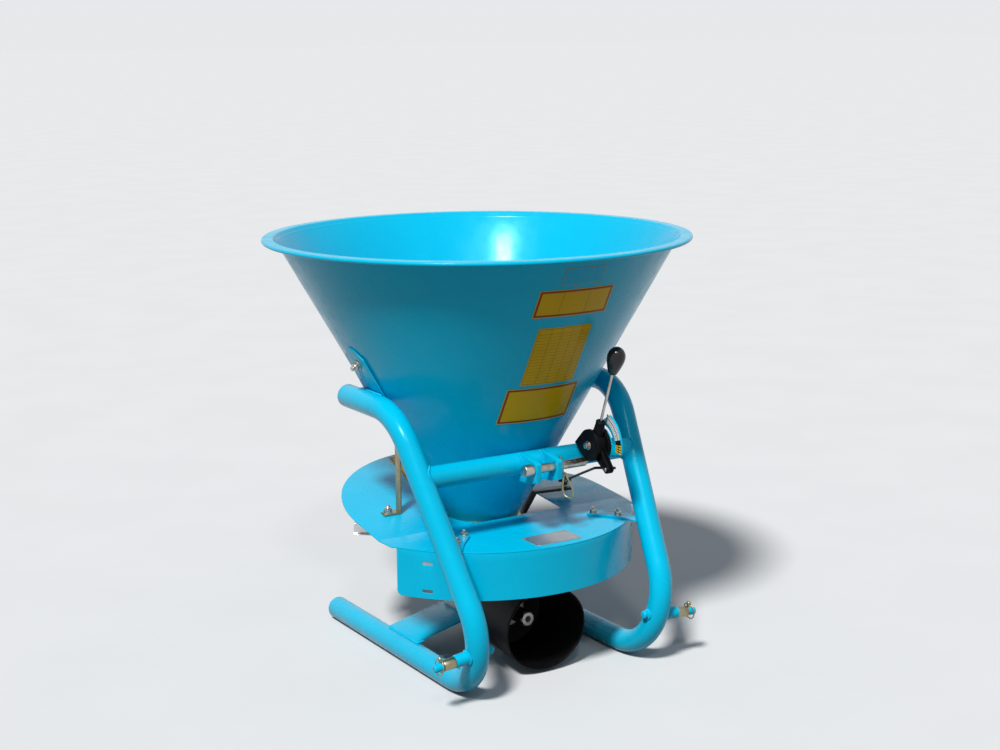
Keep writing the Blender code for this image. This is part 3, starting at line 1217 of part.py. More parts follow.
def build_pto_guard():
    """The black shield around the input shaft."""
    front = frame_at((0.0, 0.0, DRIVE_HEIGHT), (0.0, -1.0, 0.0), (0.0, 0.0, 1.0))
    mouth = -GUARD_TUBE_MOUTH_Y
    back = -FRONT_NECK_END_Y + GAP
    wall = GUARD_TUBE_WALL
    profile = [
        (GUARD_TUBE_MOUTH_RADIUS - wall, mouth), (GUARD_TUBE_MOUTH_RADIUS, mouth),
        (GUARD_TUBE_MOUTH_RADIUS, mouth - 0.004), (GUARD_TUBE_REAR_RADIUS, back + 0.004),
        (GUARD_TUBE_REAR_RADIUS - 0.004, back), (FRONT_NECK_RADIUS + GAP, back),
        (FRONT_NECK_RADIUS + GAP, back + wall), (GUARD_TUBE_REAR_RADIUS - wall - 0.003, back + wall),
        (GUARD_TUBE_REAR_RADIUS - wall, back + wall + 0.003),
    ]
    turned("pto_shield", profile, BLACK_PLASTIC, 36, front, ring=True)


# Throwing disc
def build_disc():
    rise = DISC_DISH
    low = DISC_HEIGHT
    t = DISC_SHEET
    profile = [
        (OUTPUT_SHAFT_RADIUS + GAP, low + t), (DISC_FLAT_RADIUS, low + t), (DISC_RADIUS, low + t + rise),
        (DISC_RADIUS, low + rise), (DISC_FLAT_RADIUS, low), (OUTPUT_SHAFT_RADIUS + GAP, low),
    ]
    turned("throwing_disc", profile, STAINLESS, 48, ring=True)
    nut_low = low + t + GAP
    nut_radius = 0.021
    hole = bore(OUTPUT_SHAFT_RADIUS, 12)
    turned("disc_nut", [
        (hole, nut_low + 0.014), (nut_radius - 0.003, nut_low + 0.014),
        (nut_radius, nut_low + 0.011), (nut_radius, nut_low), (hole, nut_low),
    ], BRIGHT, 12, ring=True)
    tilt = math.atan(rise / (DISC_RADIUS - DISC_FLAT_RADIUS))
    for k in range(VANE_COUNT):
        turn = VANE_START_ANGLE + 2 * math.pi * k / VANE_COUNT
        build_vane("vane_%d" % (k + 1), turn, tilt)

    half = AGITATOR_HUB_LENGTH / 2
    hub = washer("agitator", AGITATOR_HUB_RADIUS, bore(OUTPUT_SHAFT_RADIUS, 16), AGITATOR_HEIGHT - half,
                 AGITATOR_HEIGHT + half, STEEL, 16)
    bends = ((AGITATOR_HUB_RADIUS - 0.003, 0.0), (AGITATOR_REACH * 0.64, AGITATOR_RISE * 0.03),
             (AGITATOR_REACH * 0.84, AGITATOR_RISE * 0.24), (AGITATOR_REACH, AGITATOR_RISE))
    for sign in (-1, 1):
        path = [(sign * reach, 0.0, AGITATOR_HEIGHT + rise) for reach, rise in bends]
        join(hub, rod("agitator_finger_%d" % (sign + 1), path, AGITATOR_WIRE, None, 1))


def build_vane(name, turn, tilt):
    """A channel-shaped vane standing on the dished disc, trailing the radius by its offset angle."""
    t = VANE_SHEET
    h = VANE_HEIGHT
    d = VANE_DEPTH
    section = [(0.0, 0.0), (d, 0.0), (d, t), (t, t), (t, h - t), (d, h - t), (d, h), (0.0, h)]
    length = VANE_OUTER - VANE_INNER
    radial = Vector((math.cos(turn), math.sin(turn), 0.0))
    start = radial * VANE_INNER
    start.z = DISC_HEIGHT + DISC_SHEET + GAP
    start.z += (VANE_INNER - DISC_FLAT_RADIUS) * math.tan(tilt)
    heading_angle = turn + VANE_OFFSET_ANGLE
    heading = Vector((math.cos(heading_angle), math.sin(heading_angle), math.tan(tilt))).normalized()
    across = Vector((-math.sin(heading_angle), math.cos(heading_angle), 0.0))
    reach = length / math.cos(VANE_OFFSET_ANGLE) * 0.97
    place = frame_at(start + heading * reach / 2, heading, across)
    flat(name, [section], reach, STAINLESS, place)


for which, direction in (("left", -1), ("right", 1)):
    build_side_frame(which, direction)
    build_gusset(which, direction)
    build_guard_tab(which, direction)
    build_carrier(which, direction)
build_cross_tube()
build_hopper()
build_outlet()
build_shutter()
build_guard()
build_strap()
build_data_plate()
build_top_link()
build_lever()
build_gears()
build_gearbox()
build_pto_guard()
build_disc()
bpy.context.view_layer.update()
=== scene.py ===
# %% [markdown]
# # A mounted cone spreader
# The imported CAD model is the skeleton: every node already stands where it belongs, in metres, with +Z up.
# Here each visible piece gets its real surface: rounded edges, weld beads, paint, zinc and plastic. A
# better piece replaces its node, and rides on the same body, so that the joints still move it.

# %% Load the frame
import json
from math import acos, asin, atan, cos, degrees, pi, radians, sin, sqrt, tan

import bmesh
import bpy
from mathutils import Matrix, Vector

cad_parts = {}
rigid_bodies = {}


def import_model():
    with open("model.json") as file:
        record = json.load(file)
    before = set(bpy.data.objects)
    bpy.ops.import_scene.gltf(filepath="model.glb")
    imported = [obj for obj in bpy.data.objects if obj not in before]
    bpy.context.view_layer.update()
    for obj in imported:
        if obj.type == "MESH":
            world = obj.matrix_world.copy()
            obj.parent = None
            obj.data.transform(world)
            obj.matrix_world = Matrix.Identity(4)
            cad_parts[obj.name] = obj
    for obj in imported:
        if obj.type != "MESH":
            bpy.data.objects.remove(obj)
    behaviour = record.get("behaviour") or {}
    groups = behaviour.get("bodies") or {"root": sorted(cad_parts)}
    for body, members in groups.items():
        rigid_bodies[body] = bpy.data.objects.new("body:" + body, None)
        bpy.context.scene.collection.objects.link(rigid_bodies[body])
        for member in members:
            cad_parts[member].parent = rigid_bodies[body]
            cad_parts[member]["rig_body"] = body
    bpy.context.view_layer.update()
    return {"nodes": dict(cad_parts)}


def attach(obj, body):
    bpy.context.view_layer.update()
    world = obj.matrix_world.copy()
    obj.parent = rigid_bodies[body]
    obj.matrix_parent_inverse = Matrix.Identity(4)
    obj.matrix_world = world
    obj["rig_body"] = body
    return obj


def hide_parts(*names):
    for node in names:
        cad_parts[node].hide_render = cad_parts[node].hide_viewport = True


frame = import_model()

# %% [markdown]
# ## Camera, floor and light
# The camera stands where the photo was taken: in front and to the left, a little above the rim, almost four
# metres away, with a long lens. A wide soft lamp at the front left is the main light. A weak one nearer the
# front puts a highlight on the dark and shaded pieces.

# %% Camera
def show(name, data):
    """A new object of the scene."""
    thing = bpy.data.objects.new(name, data)
    bpy.context.scene.collection.objects.link(thing)
    return thing


def look(azimuth, pitch, roll, place):
    """A camera matrix from compass angles in degrees."""
    turn, tip, lean = (radians(angle) for angle in (azimuth, pitch, roll))
    ahead = Vector((sin(turn) * cos(tip), cos(turn) * cos(tip), -sin(tip)))
    right = Vector((cos(turn), -sin(turn), 0.0))
    up = right.cross(ahead)
    side = right * cos(lean) + up * sin(lean)
    top = up * cos(lean) - right * sin(lean)
    matrix = Matrix((side, top, -ahead)).transposed().to_4x4()
    matrix.translation = place
    return matrix


camera = show("camera", bpy.data.cameras.new("camera"))
camera.data.sensor_width = 36.0
camera.data.lens = 62.82
camera.matrix_world = look(31.576, 11.464, -0.511, (-1.9533, -3.2681, 1.3837))
bpy.context.scene.camera = camera
bpy.context.scene.view_settings.view_transform = "Standard"
print("camera lens", camera.data.lens)


# %% [markdown]
# ## Shader sums
# A material is easier to read when its sums look like sums. `Thread` wraps one output of a shader node and
# turns + - * / into Math nodes, while every other node comes from its `node` method.

# %% The Thread class
def sum_rule(operation):
    """A method that writes one operator as a Math node."""
    return lambda self, other: self.maths(operation, other)


class Thread:
    """One output of a shader node, on which sums are written as on a number."""

    def __init__(self, tree, socket):
        self.tree = tree
        self.socket = socket

    def node(self, kind, settings=None, sockets=None, out=0):
        """Any other node: settings first, then the values or links of its sockets."""
        made = self.tree.nodes.new(kind)
        for name, value in (settings or {}).items():
            if name == "stops":
                ramp = made.color_ramp.elements
                ramp[0].position, ramp[0].color = value[0]
                ramp[1].position, ramp[1].color = value[1]
                for place, colour in value[2:]:
                    ramp.new(place).color = colour
            else:
                setattr(made, name, value)
        for name, value in (sockets or {}).items():
            if isinstance(value, Thread):
                self.tree.links.new(value.socket, made.inputs[name])
            else:
                made.inputs[name].default_value = value
        return Thread(self.tree, made.outputs[out])

    def maths(self, operation, *others):
        """A Math node whose first term is this value."""
        return self.node("ShaderNodeMath", {"operation": operation}, dict(enumerate((self, *others))))

    def __rsub__(self, other):
        return self.node("ShaderNodeMath", {"operation": "SUBTRACT"}, {0: other, 1: self})

    __add__ = __radd__ = sum_rule("ADD")
    __sub__ = sum_rule("SUBTRACT")
    __mul__ = __rmul__ = sum_rule("MULTIPLY")
    __truediv__ = sum_rule("DIVIDE")
    __gt__ = sum_rule("GREATER_THAN")
    __lt__ = sum_rule("LESS_THAN")

    def ease(self, low, high, start=0.0, end=1.0):
        """A smooth step from start to end while this value goes from low to high."""
        return self.node("ShaderNodeMapRange", {"interpolation_type": "SMOOTHSTEP"},
                         {"Value": self, "From Min": low, "From Max": high, "To Min": start, "To Max": end})

    def mix(self, first, second):
        """Two colours mixed by this value."""
        return self.node("ShaderNodeMix", {"data_type": "RGBA"}, {0: self, 6: first, 7: second}, out=2)

    def noise(self, scale, detail=2.0, rough=0.5, stretch=(1.0, 1.0, 1.0)):
        """Noise on this vector, stretched along its axes."""
        place = self.node("ShaderNodeVectorMath", {"operation": "MULTIPLY"}, {0: self, 1: stretch})
        return self.node("ShaderNodeTexNoise", None,
                         {"Vector": place, "Scale": scale, "Detail": detail, "Roughness": rough})

    def split(self):
        """The three numbers of a vector."""
        parts = self.tree.nodes.new("ShaderNodeSeparateXYZ")
        self.tree.links.new(self.socket, parts.inputs[0])
        return [Thread(self.tree, output) for output in parts.outputs]


# %% A finish and its sockets
def start_finish(name, **fixed):
    """A Principled material with its constant values, and the object coordinates to write it with."""
    made = bpy.data.materials.new(name)
    made.use_nodes = True
    shader = made.node_tree.nodes["Principled BSDF"]
    for title, value in fixed.items():
        shader.inputs[title.replace("_", " ")].default_value = value
    spot = made.node_tree.nodes.new("ShaderNodeTexCoord")
    return made, Thread(made.node_tree, spot.outputs["Object"])


def wire(material, bump=None, **threads):
    """Link threads to the shader's sockets. Bump is (height, strength, distance)."""
    tree = material.node_tree
    shader = tree.nodes["Principled BSDF"]
    for title, thread in threads.items():
        tree.links.new(thread.socket, shader.inputs[title.replace("_", " ")])
    if bump:
        height, strength, distance = bump
        normal = height.node("ShaderNodeBump", None,
                             {"Height": height, "Strength": strength, "Distance": distance})
        tree.links.new(normal.socket, shader.inputs["Normal"])
    return material


def rgb(red, green, blue):
    return (red, green, blue, 1.0)


# %% World, floor and lamps
def screen_rays(tree):
    """1 where the camera, a gloss or a glass looks straight at this surface, 0 for its light on things."""
    rays = tree.nodes.new("ShaderNodeLightPath").outputs
    seen = Thread(tree, rays["Is Camera Ray"]).maths("MAXIMUM", Thread(tree, rays["Is Glossy Ray"]))
    return seen.maths("MAXIMUM", Thread(tree, rays["Is Transmission Ray"]))


world = bpy.data.worlds.new("studio")
bpy.context.scene.world = world
world.use_nodes = True
sky = world.node_tree
sky.links.new(screen_rays(sky).mix(rgb(0.17, 0.19, 0.22), rgb(0.80, 0.81, 0.82)).socket,
              sky.nodes["Background"].inputs["Color"])

floor_finish, floor_spot = start_finish("studio_floor", Roughness=0.8, Specular_IOR_Level=0.0)
grain = floor_spot.noise(3.0).ease(0.3, 0.7)
seen_floor = grain.mix(rgb(0.72, 0.72, 0.715), rgb(0.735, 0.735, 0.73))
wire(floor_finish, Base_Color=screen_rays(floor_finish.node_tree).mix(rgb(0.22, 0.22, 0.21), seen_floor),
     bump=(floor_spot.noise(180.0), 0.04, 0.001))
floor_mesh = bpy.data.meshes.new("studio_floor")
floor_mesh.from_pydata([(-90, -90, 0), (90, -90, 0), (90, 90, 0), (-90, 90, 0)], [], [(0, 1, 2, 3)])
floor_mesh.materials.append(floor_finish)
show("studio_floor", floor_mesh)


def soft_lamp(name, towards, width, power):
    """A distant soft light from one direction: a wide angle gives soft shadows."""
    lamp = show(name, bpy.data.lights.new(name, "SUN"))
    lamp.data.angle = radians(width)
    lamp.data.energy = power
    lamp.rotation_euler = Vector(towards).to_track_quat("Z", "Y").to_euler()


soft_lamp("key_light", (-0.50, -0.365, 0.785), 9.0, 3.5)
soft_lamp("fill_light", (-0.30, -0.62, 0.72), 6.0, 0.25)

# %% [markdown]
# ## Paint and metals
# The frame and hopper wear a thick glossy blue enamel. Sprayed enamel is never quite even: the colour drifts
# a little, the surface has a fine orange-peel skin, and the skids lose paint where they stand.
# Zinc shows a yellow to pink bloom, stainless has fine brushed rings, and the moulded pieces a fine grain.

# %% Enamel
enamel, spot = start_finish("enamel", Specular_IOR_Level=0.24, Specular_Tint=rgb(0.30, 0.85, 1.0),
                            Coat_Weight=0.05, Coat_Roughness=0.10)
drift = spot.noise(2.2, 3.0)
cloud = spot.noise(14.0, 4.0)
paint = drift.ease(0.3, 0.7).mix(rgb(0.000, 0.460, 0.695), rgb(0.000, 0.495, 0.740))
paint = (cloud.ease(0.45, 0.8) * 0.35).mix(paint, rgb(0.001, 0.52, 0.775))
height = spot.split()[2]    # the paint is chipped below 10 mm, where the skids stand
chips = height.ease(0.010, 0.001) * (spot.noise(95.0, 5.0, 0.65) > 0.50)
paint = chips.mix(paint, rgb(0.115, 0.105, 0.095))
dust = height.ease(0.16, 0.0) * spot.noise(38.0, 5.0, 0.7).ease(0.46, 0.75) * 0.08
paint = dust.mix(paint, rgb(0.30, 0.27, 0.20))
skin = spot.noise(210.0, 2.0)
wire(enamel, Base_Color=paint,
     Roughness=spot.noise(26.0, 4.0).ease(0.3, 0.75, 0.20, 0.33) + dust * 1.2 + chips * 0.3,
     bump=(skin * 0.75 + spot.noise(34.0, 1.0) * 0.9, 0.10, 0.0012))


# %% Zinc and steel
def make_zinc(name, tints, low, high):
    """Plated metal: three tints in clouds, and a fine spangle."""
    made, spot = start_finish(name, Metallic=1.0)
    cloud = spot.noise(62.0, 3.0)
    stops = [(0.30, rgb(*tints[0])), (0.66, rgb(*tints[2])), (0.48, rgb(*tints[1]))]
    colour = cloud.node("ShaderNodeValToRGB", {"stops": stops}, {"Fac": cloud})
    stain = spot.noise(210.0, 4.0, 0.6)
    return wire(made, Base_Color=(stain.ease(0.55, 0.8) * 0.35).mix(colour, rgb(0.20, 0.17, 0.13)),
                Roughness=spot.noise(160.0, 3.0).ease(0.3, 0.7, low, high), bump=(stain, 0.02, 0.0002))


yellow_zinc = make_zinc("yellow_zinc", ((0.34, 0.28, 0.14), (0.36, 0.33, 0.21), (0.30, 0.25, 0.18)),
                        0.26, 0.40)
bright_zinc = make_zinc("bright_zinc", ((0.42, 0.40, 0.35), (0.50, 0.49, 0.46), (0.38, 0.33, 0.27)),
                        0.27, 0.40)
steel = make_zinc("steel", ((0.26, 0.26, 0.26), (0.32, 0.32, 0.31), (0.22, 0.21, 0.19)), 0.34, 0.50)

# %% Stainless and castings
stainless, spot = start_finish("stainless", Metallic=1.0)
x, y, z = spot.split()
along = (x * x + y * y).maths("SQRT") * 900.0 + z * 400.0
rings = along.node("ShaderNodeTexNoise", {"noise_dimensions": "1D"},
                   {"W": along, "Scale": 1.0, "Detail": 3.0})
smear = spot.noise(18.0, 4.0)
wire(stainless, Base_Color=smear.ease(0.3, 0.7).mix(rgb(0.60, 0.60, 0.60), rgb(0.72, 0.72, 0.72)),
     Roughness=rings.ease(0.2, 0.8, 0.15, 0.34) + smear * 0.06, bump=(rings, 0.06, 0.0004))

casting, spot = start_finish("casting", Metallic=0.85)
grain = spot.noise(420.0, 4.0, 0.7)
stain = spot.noise(22.0, 5.0, 0.6)
wire(casting, Base_Color=stain.ease(0.38, 0.7).mix(rgb(0.48, 0.48, 0.48), rgb(0.34, 0.33, 0.31)),
     Roughness=grain.ease(0.3, 0.7, 0.48, 0.66), bump=(grain + stain, 0.35, 0.0008))


# %% Black pieces
def make_dark(name, dark, pale, low, high, grain_scale, grain, **fixed):
    """Black plastic or blackened steel: a fine grain, faint scuffs and a little dust."""
    made, spot = start_finish(name, **fixed)
    fine = spot.noise(grain_scale, 2.0)
    scuff = spot.noise(48.0, 6.0, 0.7, (1.0, 1.0, 0.35)).ease(0.50, 0.78)
    return wire(made, Base_Color=(scuff * 0.6).mix(rgb(*dark), rgb(*pale)),
                Roughness=fine.ease(0.3, 0.7, low, high) + scuff * 0.12, bump=(fine, grain, 0.0005))


black_plastic = make_dark("black_plastic", (0.004, 0.004, 0.005), (0.014, 0.014, 0.015),
                          0.40, 0.54, 1100.0, 0.16, Specular_IOR_Level=0.08)
gloss_black = make_dark("gloss_black", (0.005, 0.005, 0.006), (0.014, 0.014, 0.015),
                        0.12, 0.20, 500.0, 0.02, Specular_IOR_Level=0.45)
black_steel = make_dark("black_steel", (0.022, 0.022, 0.024), (0.085, 0.075, 0.062),
                        0.32, 0.50, 700.0, 0.12, Metallic=0.3, Specular_IOR_Level=0.3)

# %% The bare plate
PLATE_MIDDLE = (0.004, -0.288)
PLATE_HALF = (0.0565, 0.033)
# It is brushed along its length, with a fine black line inside its edge.
plate_metal, spot = start_finish("plate", Metallic=0.9)
brush = spot.noise(900.0, 3.0, 0.6, (0.03, 1.0, 1.0))
x, y, z = spot.split()
inside = [(half - 0.004) - (place - middle).maths("ABSOLUTE")
          for place, middle, half in zip((x, y), PLATE_MIDDLE, PLATE_HALF)]
edge = inside[0].maths("MINIMUM", inside[1])
line = (edge > 0.0) * (edge < 0.0009)
bare = brush.ease(0.3, 0.7).mix(rgb(0.52, 0.53, 0.54), rgb(0.64, 0.64, 0.65))
wire(plate_metal, Base_Color=line.mix(bare, rgb(0.03, 0.03, 0.03)),
     Roughness=brush.ease(0.2, 0.8, 0.32, 0.48), bump=(brush, 0.05, 0.0003))


# %% Finishes by slot
def slot_name(material):
    """A material's name without the number that it gets when the frame has one of its name."""
    return material.name.split(".")[0]


COATS = {slot_name(coat): coat for coat in (enamel, yellow_zinc, bright_zinc, stainless, plate_metal, casting,
                                            steel, black_plastic, gloss_black, black_steel)}
print("finishes:", sorted(COATS))

# %% [markdown]
# ## Three ways to make a piece
# `stand` turns and places a piece. `add` gives a finished mesh its coat, its body and its place in the
# model. `softened` takes a CAD node that already has the right shape, and only rolls its sharp edges, as a
# file or a thick coat of paint does.

# %% Placing and adding pieces
def stand(origin, z_axis, x_axis):
    """A placement whose Z and X point along two directions."""
    along = Vector(z_axis).normalized()
    across = (Vector(x_axis) - Vector(x_axis).dot(along) * along).normalized()
    turn = Matrix((across, along.cross(across), along)).transposed().to_4x4()
    return Matrix.Translation(Vector(origin)) @ turn


def placed(place, pairs, height=0.0):
    """Flat points in their place, all at one height over its plane."""
    return [place @ Vector((x, y, height)) for x, y in pairs]


def mm(*values):
    """Pairs in metres, such as (radius, height), from plain numbers in millimetres."""
    return [(a / 1000, b / 1000) for a, b in zip(values[::2], values[1::2])]


def settled(body, mesh=None):
    """Write an edit mesh out, to a new mesh unless one is given."""
    mesh = mesh or bpy.data.meshes.new("piece")
    body.to_mesh(mesh)
    body.free()
    return mesh


def tidy_mesh(mesh, place=None, merge=0.00001, flatten=False):
    """Merge doubles, turn every face outwards and put the mesh in its place."""
    body = bmesh.new()
    body.from_mesh(mesh)
    bmesh.ops.remove_doubles(body, verts=body.verts, dist=merge)
    bmesh.ops.dissolve_degenerate(body, edges=body.edges, dist=0.000001)
    if flatten:
        bmesh.ops.dissolve_limit(body, angle_limit=0.02, verts=body.verts, edges=body.edges)
    bmesh.ops.recalc_face_normals(body, faces=body.faces)
    settled(body, mesh)
    if place is not None:
        mesh.transform(place)
    return mesh


def add(name, mesh, coat, body="frame", instead=(), sharp=38.0, slot=None):
    """A finished piece: its mesh holds its place, and its object sits at the origin.

    `slot` is not used. `instead` names the CAD nodes that it replaces.
    """
    piece = show(name, mesh)
    mesh.materials.clear()
    mesh.materials.append(coat)
    mesh.shade_smooth()
    mesh.set_sharp_from_angle(angle=radians(sharp))
    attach(piece, body)
    slot or slot_name(coat)
    for node in [instead] if isinstance(instead, str) else instead:
        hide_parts(node)
    return piece


def baked(thing):
    """The plain mesh that an object with modifiers, or a curve, makes. The object goes."""
    bpy.context.view_layer.update()
    shown = thing.evaluated_get(bpy.context.evaluated_depsgraph_get())
    mesh = bpy.data.meshes.new_from_object(shown)
    bpy.data.objects.remove(thing, do_unlink=True)
    return mesh


def rolled(mesh, width, segments=2, angle=32.0):
    """Round the edges of a mesh."""
    thing = show("helper", mesh)
    bevel = thing.modifiers.new("roll", "BEVEL")
    bevel.width = width
    bevel.segments = segments
    bevel.limit_method = "ANGLE"
    bevel.angle_limit = radians(angle)
    return baked(thing)


def softened(node, coat, width=0.0006, segments=2, flatten=True):
    """A CAD node with rolled edges, in its place and on its body."""
    source = frame["nodes"][node]
    mesh = tidy_mesh(source.data.copy(), flatten=flatten)
    return add(node + "_soft", rolled(mesh, width, segments), coat, source["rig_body"], node)


def outline_mesh(outlines, depth, roll=0.0):
    """A flat piece from outlines with holes, centred on its own plane, with rolled edges."""
    curve = bpy.data.curves.new("outline", "CURVE")
    curve.dimensions = "2D"
    curve.fill_mode = "BOTH"
    curve.extrude = depth / 2 - roll
    curve.bevel_depth = roll
    curve.bevel_resolution = 2
    curve.offset = -roll
    for outline in outlines:
        spline = curve.splines.new("POLY")
        spline.points.add(len(outline) - 1)
        for point, spot in zip(spline.points, outline):
            point.co = (spot[0], spot[1], 0.0, 1.0)
        spline.use_cyclic_u = True
    return tidy_mesh(baked(show("helper", curve)))


def wire_mesh(points, radius, sides=12):
    """A round wire along points, closed at both ends."""
    curve = bpy.data.curves.new("wire", "CURVE")
    curve.dimensions = "3D"
    curve.bevel_depth = radius
    curve.bevel_resolution = sides // 2 - 2
    curve.use_fill_caps = True
    spline = curve.splines.new("POLY")
    spline.points.add(len(points) - 1)
    for point, spot in zip(spline.points, points):
        point.co = (*spot, 1.0)
    return tidy_mesh(baked(show("helper", curve)))


def arc(centre, radius, start, end, steps):
    """Points along an arc in a plane, with its angles in degrees."""
    turns = [radians(start + (end - start) * i / steps) for i in range(steps + 1)]
    return [(centre[0] + radius * cos(t), centre[1] + radius * sin(t)) for t in turns]


def smooth_path(points, rounds=3):
    """Round a path's corners by cutting them, again and again."""
    path = [Vector(point) for point in points]
    for _ in range(rounds):
        cut = [path[0]]
        for here, after in zip(path, path[1:]):
            cut += [here.lerp(after, 0.25), here.lerp(after, 0.75)]
        path = cut + [path[-1]]
    return path


# %% [markdown]
# ## Node trees for what turns, runs or repeats
# Much of the machine follows a rule. A hopper is a profile turned round an axis, a side frame is a tube that
# runs along a bent line, and welds and fasteners are one small shape again and again. Each rule is a
# Geometry Nodes tree with named sizes, so that a size can be changed without drawing the piece again.

# %% Building node trees
def new_graph(name, *inputs):
    """A Geometry Nodes tree with a geometry in and out, named inputs and a finish."""
    graph = bpy.data.node_groups.new(name, "GeometryNodeTree")
    face = graph.interface
    face.new_socket("Geometry", in_out="INPUT", socket_type="NodeSocketGeometry")
    face.new_socket("Geometry", in_out="OUTPUT", socket_type="NodeSocketGeometry")
    for title, kind, value in (*inputs, ("Finish", "Material", None)):
        socket = face.new_socket(title, in_out="INPUT", socket_type="NodeSocket" + kind)
        if value is not None:
            socket.default_value = value
    return graph, graph.nodes.new("NodeGroupInput").outputs


def put(graph, kind, sockets=None, **settings):
    """One node of a tree: its settings, then its links and values. Returns its outputs."""
    node = graph.nodes.new(kind)
    for title, value in settings.items():
        setattr(node, title, value)
    for title, value in (sockets or {}).items():
        if isinstance(value, bpy.types.NodeSocket):
            graph.links.new(value, node.inputs[title])
        else:
            node.inputs[title].default_value = value
    return node.outputs


def sums(graph, operation, first, second=0.0):
    return put(graph, "ShaderNodeMath", {0: first, 1: second}, operation=operation)[0]


def close_graph(graph, geometry, finish):
    """Realize Instances and Set Material end every tree."""
    solid = put(graph, "GeometryNodeRealizeInstances", {"Geometry": geometry})[0]
    dressed = put(graph, "GeometryNodeSetMaterial", {"Geometry": solid, "Material": finish})[0]
    put(graph, "NodeGroupOutput", {"Geometry": dressed})


def grow(graph, mesh, **values):
    """Run a tree on a mesh. Inputs are set by their identifiers before the first evaluation."""
    thing = show("helper", mesh)
    step = thing.modifiers.new("rule", "NODES")
    step.node_group = graph
    for socket in graph.interface.items_tree:
        title = socket.name.replace(" ", "_")
        if socket.in_out == "INPUT" and title in values:
            step[socket.identifier] = values[title]
    return baked(thing)


def line_mesh(points):
    """Points joined by edges, as the start of a tree."""
    mesh = bpy.data.meshes.new("line")
    mesh.from_pydata([tuple(point) for point in points], [(i, i + 1) for i in range(len(points) - 1)], [])
    return mesh


# %% The turning tree
# Turns a profile of (radius, 0, height) points round Z: a grid with one row for each step.
turning, ask = new_graph("turning", ("Steps", "Int", 96), ("Rows", "Int", 10))
columns = sums(turning, "ADD", ask["Steps"], 1.0)
grid = put(turning, "GeometryNodeMeshGrid", {"Vertices X": columns, "Vertices Y": ask["Rows"]})["Mesh"]
index = put(turning, "GeometryNodeInputIndex")[0]
row = sums(turning, "MODULO", index, ask["Rows"])
column = sums(turning, "FLOOR", sums(turning, "DIVIDE", index, ask["Rows"]))
angle = sums(turning, "MULTIPLY", sums(turning, "DIVIDE", column, ask["Steps"]), 2 * pi)
spot = put(turning, "GeometryNodeInputPosition")[0]
profile = put(turning, "GeometryNodeSampleIndex",
              {"Geometry": ask["Geometry"], "Value": spot, "Index": row}, data_type="FLOAT_VECTOR")[0]
turned = put(turning, "ShaderNodeVectorRotate", {"Vector": profile, "Angle": angle},
             rotation_type="Z_AXIS")[0]
shaped = put(turning, "GeometryNodeSetPosition", {"Geometry": grid, "Position": turned})[0]
merged = put(turning, "GeometryNodeMergeByDistance", {"Geometry": shaped, "Distance": 0.000005})[0]
close_graph(turning, merged, ask["Finish"])


def turned_mesh(profile, steps, place=None, ring=False):
    """A turned piece from its profile. A ring's profile closes on itself."""
    points = list(profile) + ([profile[0]] if ring else [])
    mesh = grow(turning, line_mesh([(r, 0.0, z) for r, z in points]), Steps=steps, Rows=len(points))
    return tidy_mesh(mesh, place, 0.000006)


# %% The tube tree
# Rounds the corners of a line and runs a tube along it.
bent_tube, ask = new_graph("bent_tube", ("Bend Radius", "Float", 0.13), ("Bend Steps", "Int", 24),
                            ("Tube Radius", "Float", 0.0254), ("Sides", "Int", 40))
line = put(bent_tube, "GeometryNodeMeshToCurve", {"Mesh": ask["Geometry"]})[0]
bent = put(bent_tube, "GeometryNodeFilletCurve",
           {"Curve": line, "Radius": ask["Bend Radius"], "Count": ask["Bend Steps"]}, mode="POLY")[0]
ring = put(bent_tube, "GeometryNodeCurvePrimitiveCircle",
           {"Resolution": ask["Sides"], "Radius": ask["Tube Radius"]})[0]
tube = put(bent_tube, "GeometryNodeCurveToMesh", {"Curve": bent, "Profile Curve": ring, "Fill Caps": True})[0]
close_graph(bent_tube, tube, ask["Finish"])

# %% The weld tree
# Lays overlapping drops along a line, each a little different, as a weld bead is.
weld_bead, ask = new_graph("weld_bead", ("Pitch", "Float", 0.0024), ("Drop", "Float", 0.0036))
line = put(weld_bead, "GeometryNodeMeshToCurve", {"Mesh": ask["Geometry"]})[0]
count = put(weld_bead, "GeometryNodeCurveToPoints", {"Curve": line, "Length": ask["Pitch"]}, mode="LENGTH")
drop = put(weld_bead, "GeometryNodeMeshIcoSphere", {"Radius": ask["Drop"], "Subdivisions": 1})[0]
size = put(weld_bead, "FunctionNodeRandomValue",
           {"Min": (0.52, 0.88, 0.80), "Max": (0.66, 1.10, 1.04), "Seed": 4}, data_type="FLOAT_VECTOR")[0]
turn = put(weld_bead, "ShaderNodeCombineXYZ", {"Y": pi / 2})[0]
spots = put(weld_bead, "GeometryNodeInstanceOnPoints",
            {"Points": count["Points"], "Instance": drop, "Rotation": count["Rotation"], "Scale": size})[0]
spots = put(weld_bead, "GeometryNodeRotateInstances", {"Instances": spots, "Rotation": turn})[0]
close_graph(weld_bead, spots, ask["Finish"])

# %% The fastener tree
# Stands one fastener on every point, turned by the point's own attribute.
fasteners, ask = new_graph("fasteners", ("Fastener", "Object", None))
shape = put(fasteners, "GeometryNodeObjectInfo", {"Object": ask["Fastener"]})["Geometry"]
turn = put(fasteners, "GeometryNodeInputNamedAttribute", {"Name": "turn"}, data_type="FLOAT_VECTOR")[0]
size = put(fasteners, "GeometryNodeInputNamedAttribute", {"Name": "size"}, data_type="FLOAT")[0]
spots = put(fasteners, "GeometryNodeInstanceOnPoints",
            {"Points": ask["Geometry"], "Instance": shape, "Rotation": turn, "Scale": size})[0]
close_graph(fasteners, spots, ask["Finish"])


